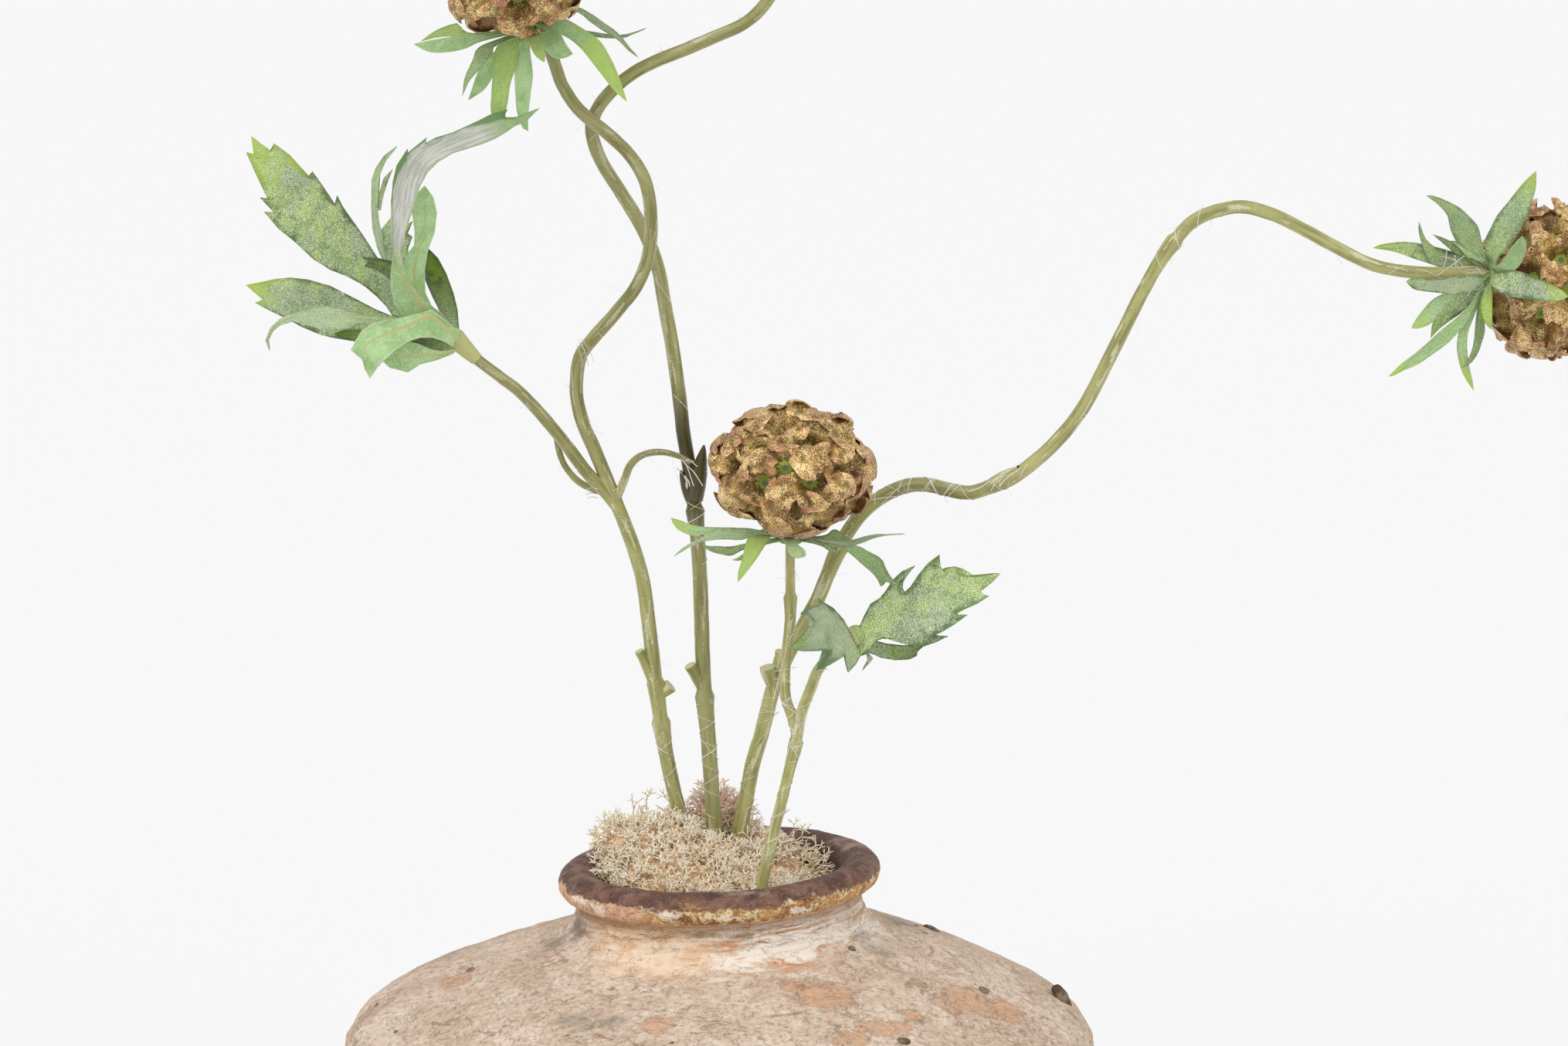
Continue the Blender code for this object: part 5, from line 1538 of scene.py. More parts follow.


# %% [markdown]
# ### Satin and the green stars
#
# The satin is khaki gold with a fine grid of threads, and it was sprayed a dusty pink brown at
# the rims. The glints of its threads are painted highlights in its colour, and painted shade lies
# in fine specks, in dusky patches and deep in the cups. The stars are lime green with a grey dot
# of glue in the middle.

# %% Satin
satin = Paint("khaki_satin")
warp, weft = [satin.vector("weave").axis(letter) for letter in "XY"]
rim_share = satin.value("rim")
thread_grid = (warp * 14.0).sine() * (weft * 14.0).sine()
dust = satin.noise(4.0, 4, 0.65)
glint = satin.noise(0.42, 2, 0.8)
sheen_patch = satin.noise(2.6, 3, 0.6)
shade = satin.noise(9.0, 3, 0.55)
rim_edge = rim_share + (dust - 0.5) + (shade - 0.5) * 0.7 + (glint - 0.5) * 0.3
# painted highlight: where the threads glint
painted_sparkle = glint + (sheen_patch - 0.5) * 0.5 + (shade - 0.5) * 0.5 + thread_grid * 0.05
colour = satin.layers(
    satin.mix(dust.between(0.38, 0.62), tint(118, 82, 32), tint(190, 150, 72)),
    # painted shade: dusky brown patches over the heads
    (shade.between(0.47, 0.36) * 0.6, tint(112, 68, 36)),
    # painted shade deep in each cup and on the core between them, where the satin is also a deeper olive
    (rim_share.between(0.62, 0.3) * 0.85, tint(96, 82, 26)),
    (rim_edge.between(0.80, 0.96) * 0.8, tint(190, 126, 98)),
    # painted highlight: pale gold glints
    (painted_sparkle.between(0.53, 0.62) * 0.95, tint(252, 228, 154)),
    # painted shade: dark specks between the glints
    (glint.between(0.47, 0.36) * 0.75, tint(84, 56, 20)),
    (satin.value("under") * 0.45, tint(162, 106, 76)))
khaki_satin = satin.done(colour, glint.between(0.35, 0.7, 0.5, 0.3),
                         satin.bump(glint, 0.12, 0.7, satin.bump(sheen_patch, 0.5, 0.8)),
                         Metallic=0.2, Specular_IOR_Level=0.6, Sheen_Weight=0.15, Sheen_Roughness=0.4)

# %% Lime green
lime = Paint("lime_star")
fuzz = lime.noise(0.5, 3, 0.7)
outward = lime.value("star")
colour = lime.layers(
    lime.mix(fuzz, tint(146, 170, 44), tint(206, 220, 96)),
    (outward.between(0.42, 0.15), tint(112, 128, 96)),
    (fuzz.between(0.66, 0.75) * outward.between(0.5, 0.1), tint(214, 220, 206)))
lime_star = lime.done(colour, 0.75, lime.bump(fuzz, 0.25))

# %% Assemble the heads


def make_head(name, seed, sides, rows):
    """A head of ruffled cups round a core, on its calyx, and the stars in the cups."""
    collar, axis = head_frame(name)
    centre = collar + axis * COLLAR_DROP
    turn = Vector((0, 0, 1)).rotation_difference(axis).to_matrix().to_4x4()
    place = np.array(Matrix.Translation(centre) @ turn @ Matrix.Diagonal((1, 1, HEAD_FLATTEN, 1)))
    draw = random.Random(seed + 40)
    middles = share_out(name, seed)
    cups, stars = Pile(), Pile()

    def put(pile, points, faces, values):
        points = np.asarray(points, float)
        pile.add(points @ place[:3, :3].T + place[:3, 3], faces, **values)

    for index, middle in enumerate(middles):
        others = middles[:index] + middles[index + 1:]
        heart, lead = draw.uniform(0.60, 0.72), 0.0
        if name == "front" and index < len(FRONT_HEARTS):
            heart, lead = FRONT_HEARTS[index], 0.24
        put(cups, *ruffled_cup(middle, others, heart, lead, draw, sides, rows))
        if name == "front" and len(FRONT_HEARTS) <= index < len(FRONT_CUPS):
            continue                     # folded shut in the photo
        put(stars, *star(middle, draw.uniform(3.0, 3.9), heart * HEAD_RADIUS, draw))
    put(cups, *ball(CORE_RADIUS), {})
    path = [centre - axis * reach for reach in (6, 12, 16, 19, 21.4)]
    points, faces = tube(path, (9, 9.6, 8, 6, 4.6), 20)
    cups.add(points, faces)
    head = cups.make(f"head_{name}_ruffles", khaki_satin, sharp=70)
    settle(head, "petal_fabric", "head_" + name)
    settle(stars.make(f"head_{name}_stars", lime_star, sharp=40), "petal_fabric")


# Sides and rows of a cup's cloth: finest on the head that the photo shows best
CUP_FINENESS = {"left": (56, 9), "front": (84, 12), "right": (64, 10), "tall": (52, 9)}
for seed, (name, fineness) in enumerate(CUP_FINENESS.items()):
    make_head(name, seed, *fineness)

# %% [markdown]
# ## Leaves and bracts
#
# The leaves are stamped from woven cloth and printed: grey green with specks, lime at some tips,
# dark at the cut edges, silver on some undersides and sage with a visible weave near the neck.
# A sheet is a grid of points along its rib and across it, and both its edges lie at places read off
# the picture. A bract that the photo doesn't show well is a lance-shaped blade instead.

# %% Printed cloth
printed = Paint("printed_leaf_cloth")
flat = printed.vector("weave")
along_rib, across_rib = flat.axis("X"), flat.axis("Y")
edge, share = printed.value("edge"), printed.value("share")
sage_part, lime_part, silver_side = printed.value("sage"), printed.value("lime"), printed.value("silver")
grain, mottle, cloud = printed.noise(0.42, 2, 0.75), printed.noise(5.5, 4, 0.62), printed.noise(13, 3, 0.5)
weave = (along_rib * 12.5 + across_rib * 5.0).sine() * (across_rib * 12.5 - along_rib * 4.0).sine()
uneven, speck = mottle - 0.5, grain - 0.5
colour = printed.layers(
    printed.mix(cloud.between(0.42, 0.58), tint(166, 182, 146), tint(182, 204, 126)),
    (mottle.between(0.46, 0.62) * 0.7, tint(126, 146, 102)),
    (grain.between(0.50, 0.66) * 0.8, tint(92, 116, 62)),
    (grain.between(0.49, 0.36) * 0.85, tint(222, 230, 206)))
sage = printed.layers(
    printed.mix(mottle.between(0.4, 0.6), tint(146, 188, 116), tint(180, 214, 150)),
    (weave.between(0.0, 0.8) * 0.5, tint(216, 234, 194)),
    (grain.between(0.52, 0.66) * 0.3, tint(112, 150, 84)),
    (grain.between(0.48, 0.36) * 0.35, tint(230, 240, 212)),
    (weave.between(0.0, -0.8) * 0.4, tint(104, 148, 84)),
    ((edge - (share * -0.24 + 0.22) + speck * 0.1).between(0.06, -0.02), tint(184, 186, 126)),
    (edge.between(0.88, 1.0) * 0.6, tint(208, 220, 190)))
dark = printed.layers(
    printed.mix(mottle.between(0.40, 0.58), tint(66, 80, 42), tint(112, 136, 44)),
    (grain.between(0.5, 0.7) * 0.6, tint(46, 58, 34)),
    ((edge + uneven * 0.6).between(0.6, 0.95) * 0.7, tint(96, 100, 88)))
rim = (edge + uneven + speck * 0.35).between(0.74, 1.02)
lime_far = lime_part.between(1.0, 2.0) * 0.8
tip = (share + lime_far + uneven * 0.7 + speck * 0.3 + edge * 0.12).between(0.78, 1.04)
tip = tip * lime_part.between(0.0, 1.0) * (0.85 - lime_far * 0.45)
fibre = printed.noise(0.9, 3, 0.6, 0.0, printed.combined(along_rib * 0.0001, across_rib * 0.001))
silver = printed.layers(
    printed.mix(fibre.between(0.4, 0.6), tint(176, 179, 168), tint(204, 204, 195)),
    (grain.between(0.56, 0.72) * 0.4, tint(150, 152, 142)))
silver_part = (edge + uneven * 0.5).between(0.98, 0.8) * (share + uneven * 0.3).between(0.92, 0.76)
silver_part = silver_part * (share + uneven * 0.1 + sage_part * -0.34).between(-0.01, 0.06)
turned_up = (share + across_rib * -0.09 + uneven * 0.15).between(0.97, 1.05)
colour = printed.layers(
    colour,
    (sage_part, sage),
    (printed.value("dark"), dark),
    (rim * (sage_part * -0.9 + 1.0) * 0.85, tint(84, 108, 62)),
    (tip, printed.mix(mottle, tint(140, 178, 56), tint(196, 214, 100))),
    (silver_side * silver_part, silver),
    (silver_side * turned_up * 0.85, printed.mix(grain, tint(80, 120, 62), tint(116, 154, 94))))
printed_cloth = printed.done(colour, grain.between(0.3, 0.7, 0.6, 0.8),
                             printed.bump(weave, 0.05, 0.6, printed.bump(grain, 0.05, 0.5)),
                             Specular_IOR_Level=0.35)

# %% A sheet between two edges


def lengths_along(path):
    """The share of a line's whole length at each of its points."""
    walked = np.concatenate([[0], np.cumsum(np.linalg.norm(np.diff(path, axis=0), axis=1))])
    return walked / walked[-1]


def places_at(path, shares):
    """The places at some shares of a line's length."""
    return np.array([np.interp(shares, lengths_along(path), path[:, key]) for key in range(3)]).T


def as_rows(points):
    """Points as the rows of one array."""
    return np.array([list(point) for point in points])


def spread_sheet(rib, edges, seed, columns=11, fold=0.2):
    """A sheet spread between a rib and the teeth and notches of its two edges, in millimetres."""
    fine = as_rows(smooth_path([Vector(point) for point in rib], 0.8))
    length = float(np.linalg.norm(np.diff(fine, axis=0), axis=1).sum())
    shares = set(np.linspace(0, 1, max(10, int(length / 1.5))).tolist())
    shares = np.array(sorted(shares.union(*[lengths_along(corners).tolist() for corners in edges])))
    middles, outers = places_at(fine, shares), [places_at(corners, shares) for corners in edges]
    ways = places_at(fine, np.minimum(1, shares + 0.02)) - places_at(fine, np.maximum(0, shares - 0.02))
    draw = random.Random(seed)
    phase, wave = draw.uniform(0, math.tau), draw.uniform(0.3, 0.7)
    shape = (len(shares), columns)
    grid, flat, edge, part = np.zeros((*shape, 3)), np.zeros((*shape, 3)), np.zeros(shape), np.zeros(shape)
    for row, (share, middle) in enumerate(zip(shares.tolist(), middles)):
        way = ways[row] / np.linalg.norm(ways[row])
        for column in range(columns):
            place = column / (columns - 1) * 2 - 1
            away = outers[0 if place < 0 else 1][row] - middle
            push = way * np.dot(away, way)
            away = (away - push) * abs(place) + push * abs(place) ** 3
            out = float(np.linalg.norm(away))
            lift = out * fold + 0.3 * math.exp(-(place / 0.14) ** 2)
            ripple = math.sin(share * length * 0.33 + phase + place * 1.6)
            lift += wave * ripple * place ** 2 * min(1, out / 4)
            grid[row, column] = middle + away - np.array([0, lift * min(1, 12 * (1 - share)), 0])
            edge[row, column], part[row, column] = abs(place), share
            flat[row, column] = (share * length, math.copysign(out, place), seed)
    return cloth(grid, 0.45, False, {"edge": edge, "share": part, "weave": flat})


# %% Bracts
# Bract tips from the collar's middle, with each bract's full width. The last two of the right head
# are small and aren't in the plain model.
BRACTS = {
    "left": [((-43, 9, -7), 6.5), ((-40, -14, -6), 6.5), ((-26, -17, -20), 7.0), ((-25, 14, -26), 6.5),
             ((-15, -7, -30), 7.5), ((-5, -6, -33), 6.5), ((1.5, -24, -9), 6.5), ((11, -14, -9), 7.5),
             ((28.3, -7, -24), 7.5), ((32, 9, -12), 6.0), ((30, 24, -5), 6.0), ((2, 30, -10), 6.0)],
    "front": [((-40, 9, 3), 6.5), ((-39, -6, -6), 5.5), ((-28, 23, -7), 6.0), ((-19, -15, -6), 6.5),
              ((-17.5, -21, -12), 7.0), ((5, -25, -3), 7.0), ((38, 17, -3), 5.5), ((36.5, 4, -15), 6.5),
              ((20, -14, -6), 6.5), ((15, 32, -7), 6.0), ((-10, 31, -5), 6.0)],
    "right": [((14.8, -9, 34.5), 7.5), ((-23.5, -14, 28.7), 7.0), ((-23.8, -4, 16.3), 5.5),
              ((-40, -2, 10.6), 7.0), ((-29, -22, -3), 7.5), ((-27, -18, -16.3), 7.0),
              ((-19, 0, -22.8), 6.5), ((-33.5, -6, -34.5), 7.0), ((-8.6, -6, -33), 6.5),
              ((-5.7, -4, -38), 6.5), ((7, -25, 12), 6.5), ((20, -27, -5), 7.5), ((-12, 30, 6), 6.0),
              ((1.3, -9, -19), 5.5), ((-19, -7, 13), 4.5)],
    "tall": [((30 * math.cos(turn), 30 * math.sin(turn), -7 - 6 * math.cos(3 * turn)), 6.5)
             for turn in [math.radians(33 * number) for number in range(11)]],
}

# The cloth collar that holds the bracts: heights along the head's axis, with the radius there
COLLAR = ((-1.9, 3.4), (-1.0, 4.4), (0.2, 5.2), (1.2, 5.0))

# What the cloth's print reads from each sheet. A lime above 1 reaches along the whole sheet.
PRINT = ("lime", "silver", "sage", "dark")


# Bracts that the photo shows well: which one, its print, and both its edges as places in the photo
SEEN_BRACTS = {
    "left": {
        0: ((1.8, 0, 0.3, 0), [(607, 43), (594, 30), (574, 35), (557, 44), (544, 54)],
            [(607, 50), (585, 47), (563, 49), (544, 54)]),
        1: ((0, 0, 0.9, 0), [(624, 44), (592, 47), (563, 51), (535, 57)],
            [(628, 52), (602, 63), (576, 68), (553, 66), (535, 57)]),
        2: ((0, 0, 0.6, 0.25), [(624, 59), (612, 78), (602, 100), (598, 125)],
            [(642, 59), (637, 69), (618, 93), (607, 106), (598, 125)]),
        3: ((0, 0, 1, 0), [(633, 72), (618, 95), (611, 115), (606, 130)],
            [(641, 69), (640, 93), (628, 115), (606, 130)]),
        4: ((2, 0, 0.6, 0), [(644, 59), (638, 98), (636, 128), (636, 147), (650, 155)],
            [(673, 57), (670, 80), (661, 108), (657, 134), (650, 155)]),
        5: ((0, 0, 1, 0), [(674, 57), (667, 87), (667, 113), (669, 143), (676, 165), (684, 170)],
            [(686, 57), (690, 95), (687, 121), (684, 147), (684, 170)]),
        6: ((2, 0, 0.7, 0), [(685, 33), (686, 56), (693, 72), (705, 81)],
            [(691, 33), (700, 46), (705, 65), (705, 81)]),
        7: ((0, 0, 1, 0), [(692, 28), (704, 61), (715, 74), (728, 76), (742, 70)],
            [(706, 30), (724, 41), (732, 56), (742, 70)]),
        8: ((1.5, 0, 0.9, 0),
            [(693, 26), (715, 39), (737, 50), (758, 69), (780, 98), (797, 119), (812, 132)],
            [(709, 17), (728, 22), (758, 39), (776, 52), (791, 76), (802, 102), (808, 119), (812, 132)]),
        9: ((0, 0.2, 0.5, 0.2), [(745, 15), (761, 26), (780, 39), (800, 52), (815, 67), (827, 75)],
            [(741, 9), (761, 15), (780, 28), (800, 43), (815, 61), (827, 75)]),
        10: ((0, 0, 0.2, 0.4), [(755, 44), (780, 49), (808, 49), (823, 42), (838, 36)],
             [(755, 39), (780, 43), (806, 45), (838, 36)]),
    },
    "front": {
        0: ((0.7, 0, 0.8, 0),
            [(963, 688), (924, 689), (906, 693), (896, 693), (883, 688), (874, 682), (868, 670)],
            [(963, 684), (937, 683), (915, 682), (897, 680), (885, 675), (868, 670)]),
        1: ((0, 0.2, 0.6, 0),
            [(973, 696), (958, 699), (937, 698), (915, 700), (900, 704), (883, 714), (871, 721)],
            [(971, 684), (941, 685), (922, 688), (902, 699), (885, 709), (871, 721)]),
        2: ((0, 0, 0.2, 0.4), [(963, 711), (948, 719), (932, 717), (915, 711), (902, 700)],
            [(967, 703), (948, 707), (926, 707), (913, 706), (902, 700)]),
        3: ((0, 0.2, 0.8, 0), [(985, 700), (965, 714), (957, 721), (947, 725)],
            [(990, 706), (968, 722), (957, 726), (947, 725)]),
        4: ((1.7, 0, 0.5, 0), [(978, 693), (967, 699), (961, 723), (956, 740), (955, 754)],
            [(1000, 693), (989, 708), (978, 725), (967, 740), (955, 754)]),
        5: ((0, 0.1, 1, 0), [(1013, 694), (1016, 703), (1022, 716), (1030, 722), (1043, 720)],
            [(1028, 696), (1034, 706), (1042, 712), (1043, 720)]),
        6: ((0, 0.3, 0.6, 0.2),
            [(1067, 701), (1080, 707), (1099, 707), (1115, 703), (1130, 697), (1149, 693), (1173, 691)],
            [(1067, 698), (1084, 700), (1104, 699), (1121, 694), (1138, 691), (1154, 692), (1173, 691)]),
        7: ((0, 0, 0.6, 0.2),
            [(1080, 707), (1095, 712), (1115, 729), (1130, 742), (1138, 753), (1141, 762), (1146, 752),
             (1156, 757), (1169, 766)],
            [(1095, 707), (1110, 706), (1125, 714), (1141, 723), (1147, 736), (1155, 749), (1169, 766)]),
        8: ((0, 0, 0.3, 0.3), [(1050, 703), (1066, 708), (1075, 714), (1084, 716)],
            [(1050, 698), (1066, 702), (1077, 708), (1084, 716)]),
        9: ((0, 0, 0, 0.7), [(1067, 700), (1082, 701), (1102, 699)],
            [(1067, 693), (1080, 685), (1091, 691), (1102, 699)]),
    },
    "right": {
        0: ((0.8, 0, 0.3, 0),
            [(1922, 325), (1922, 311), (1929, 296), (1938, 279), (1951, 263), (1971, 238), (1989, 221)],
            [(1941, 332), (1957, 315), (1966, 301), (1974, 285), (1979, 273), (1987, 249), (1989, 235),
             (1989, 221)]),
        1: ((0, 0, 0.4, 0.3),
            [(1918, 333), (1901, 324), (1888, 316), (1881, 305), (1877, 293), (1874, 278), (1862, 265),
             (1846, 253)],
            [(1921, 325), (1914, 295), (1904, 282), (1890, 269), (1873, 260), (1857, 254), (1846, 253)]),
        2: ((0, 0, 0.2, 0.2),
            [(1917, 347), (1872, 346), (1853, 342), (1846, 333), (1841, 316), (1837, 300), (1837, 286)],
            [(1914, 340), (1894, 331), (1875, 329), (1861, 322), (1850, 314), (1843, 304), (1837, 286)]),
        3: ((1.1, 0, 0.1, 0),
            [(1917, 350), (1872, 347), (1853, 342), (1839, 337), (1821, 331), (1802, 325), (1777, 321)],
            [(1914, 338), (1875, 324), (1853, 318), (1837, 315), (1817, 313), (1797, 315), (1786, 317),
             (1777, 321)]),
        4: ((0, 0.3, 0.2, 0.2),
            [(1912, 372), (1896, 379), (1879, 381), (1864, 379), (1846, 377), (1832, 375), (1825, 370),
             (1820, 364)],
            [(1916, 357), (1900, 357), (1886, 359), (1862, 361), (1836, 360), (1825, 361), (1820, 364)]),
        5: ((0.6, 0, 0.6, 0),
            [(1914, 370), (1895, 381), (1877, 391), (1866, 403), (1856, 416), (1846, 422), (1837, 425),
             (1827, 425)],
            [(1908, 364), (1885, 374), (1862, 383), (1851, 391), (1844, 399), (1836, 409), (1831, 417),
             (1827, 425)]),
        6: ((0.8, 0, 0, 0.2),
            [(1918, 374), (1909, 386), (1902, 394), (1891, 405), (1877, 415), (1864, 425), (1857, 432),
             (1852, 438)],
            [(1910, 368), (1885, 384), (1872, 392), (1862, 404), (1855, 417), (1853, 429), (1852, 438)]),
        7: ((1, 0, 0.7, 0),
            [(1918, 380), (1908, 399), (1899, 417), (1888, 430), (1872, 446), (1854, 459), (1835, 472),
             (1818, 479), (1805, 486), (1797, 488)],
            [(1912, 378), (1902, 395), (1890, 408), (1867, 426), (1851, 441), (1835, 455), (1814, 471),
             (1804, 481), (1797, 488)]),
        8: ((0, 0, 0.5, 0.5),
            [(1922, 378), (1921, 400), (1922, 418), (1922, 431), (1919, 441), (1915, 453), (1909, 464),
             (1902, 472), (1892, 477)],
            [(1916, 378), (1913, 399), (1911, 412), (1909, 431), (1907, 448), (1902, 462), (1897, 471),
             (1892, 477)]),
        9: ((0.7, 0, 0.6, 0),
            [(1921, 376), (1911, 403), (1905, 418), (1900, 431), (1899, 444), (1900, 459), (1902, 474),
             (1906, 491), (1908, 506)],
            [(1914, 376), (1899, 405), (1891, 422), (1888, 431), (1886, 448), (1888, 463), (1891, 476),
             (1897, 490), (1908, 506)]),
        10: ((0, 0, 0.9, 0.1), [(1938, 344), (1943, 340), (1954, 324), (1963, 313), (1971, 305)],
             [(1941, 350), (1961, 349), (1968, 342), (1974, 329), (1975, 316), (1971, 305)]),
        11: ((0.7, 0, 0, 0),
             [(1937, 351), (1963, 350), (1981, 356), (1999, 364), (2018, 373), (2031, 384)],
             [(1934, 374), (1954, 383), (1977, 387), (1999, 390), (2018, 389), (2031, 384)]),
        13: ((1.6, 0, 0, 0), [(1932, 371), (1932, 385), (1932, 399), (1932, 412), (1931, 427)],
             [(1922, 372), (1917, 393), (1917, 400), (1919, 409), (1922, 417), (1931, 427)]),
        14: ((0, 0, 0, 0.4),
             [(1914, 346), (1895, 334), (1882, 327), (1872, 318), (1861, 309), (1854, 303)],
             [(1918, 342), (1901, 334), (1890, 322), (1878, 313), (1866, 307), (1854, 303)]),
    },
}


def seen_bract(collar, axis, deep, sides, seed):
    """A bract between edges that the photo shows, rooted in the collar."""
    edges = []
    for sign, side in zip((-1, 1), sides):
        share = lengths_along(np.array(side))
        spots = [list(seen_at(*place, collar.y + deep * (0.35 + 0.65 * part)))
                 for place, part in zip(side, share)]
        towards = Vector(spots[0]) - collar
        root = collar + towards.normalized() * 3 + axis.cross(towards).normalized() * 1.6 * sign
        edges.append(as_rows(smooth_path([root] + spots, 2.2)))
    rib = sum(places_at(edge, np.linspace(0, 1, 6)) for edge in edges) / 2
    return spread_sheet(rib, edges, seed, 9, 0.12)


def bract_sheet(collar, axis, tip, width, draw):
    """One lance-shaped blade: low at first, then bending to its tip, folded along its rib."""
    level = (tip - axis * tip.dot(axis)).normalized()
    start, control = level * 3.1, level * max(9.0, tip.length * 0.58) - axis * 1.2
    across = axis.cross(level)
    twist, wave, phase = draw.uniform(-0.5, 0.5), draw.uniform(0.2, 0.5), draw.uniform(0, math.tau)
    rows, columns = 20, 9
    grid, flat = np.zeros((rows, columns, 3)), np.zeros((rows, columns, 3))
    edge, share = np.zeros((rows, columns)), np.zeros((rows, columns))
    for row in range(rows):
        part = row / (rows - 1)
        middle = start * (1 - part) ** 2 + control * 2 * part * (1 - part) + tip * part ** 2
        forward = ((control - start) * (1 - part) + (tip - control) * part).normalized()
        normal = forward.cross(across).normalized()
        half = width / 2 * np.interp(part, (0, 0.12, 0.42, 0.78, 0.93, 1), (0.5, 0.7, 1, 0.75, 0.36, 0.05))
        lean = twist * part
        for column in range(columns):
            place = column / (columns - 1) * 2 - 1
            lift = half * (0.34 * abs(place) ** 1.3 - 0.12)
            lift += wave * math.sin(part * 9 + phase + place) * part * 0.6
            out = place * half
            spot = across * (out * math.cos(lean) - lift * math.sin(lean))
            spot += normal * (out * math.sin(lean) + lift * math.cos(lean))
            grid[row, column] = collar + middle + spot
            edge[row, column], share[row, column] = abs(place), part
            flat[row, column] = (part * tip.length, out, phase)
    return cloth(grid, 0.45, False, {"edge": edge, "share": share, "weave": flat})


for seed, name in enumerate(BRACTS):
    collar, axis = head_frame(name)
    draw = random.Random(seed + 70)
    star_of_bracts = Pile()
    for number, (tip, width) in enumerate(BRACTS[name]):
        kind = (draw.choice((0.0, 0.7, 0.2)), 0.0, draw.choice((0.3, 0.6, 0.9)), draw.uniform(0, 0.25))
        if number in SEEN_BRACTS.get(name, {}):
            kind, *sides = SEEN_BRACTS[name][number]
            points, faces, values = seen_bract(collar, axis, tip[1], sides, number)
        else:
            points, faces, values = bract_sheet(collar, axis, Vector(tip), width, draw)
        values["edge"] = 0.3 + 0.7 * values["edge"]
        star_of_bracts.add(points, faces, **dict(zip(PRINT, kind)), **values)
    rises, radii = zip(*COLLAR)
    points, faces = tube([collar + axis * rise for rise in rises], radii, 24)
    star_of_bracts.add(points, faces, sage=0.4, dark=0.6, edge=0.5)
    bracts = star_of_bracts.make(f"bracts_{name}_cut", printed_cloth, sharp=50)
    settle(bracts, "leaf_fabric", "bracts_" + name)

# %% [markdown]
# ### The sprays
#
# The cut edge of a leaf is read off the picture: its rib is a line of picture places, each with a
# depth in millimetres behind the pot's middle, and each side is the row of its teeth and notches.
# `seen_at` turns a place and a depth back into the real point. The sheet runs from rib to edge, so
# it has exactly that outline, while its depth gives it a fold, a wave and its place in the spray.

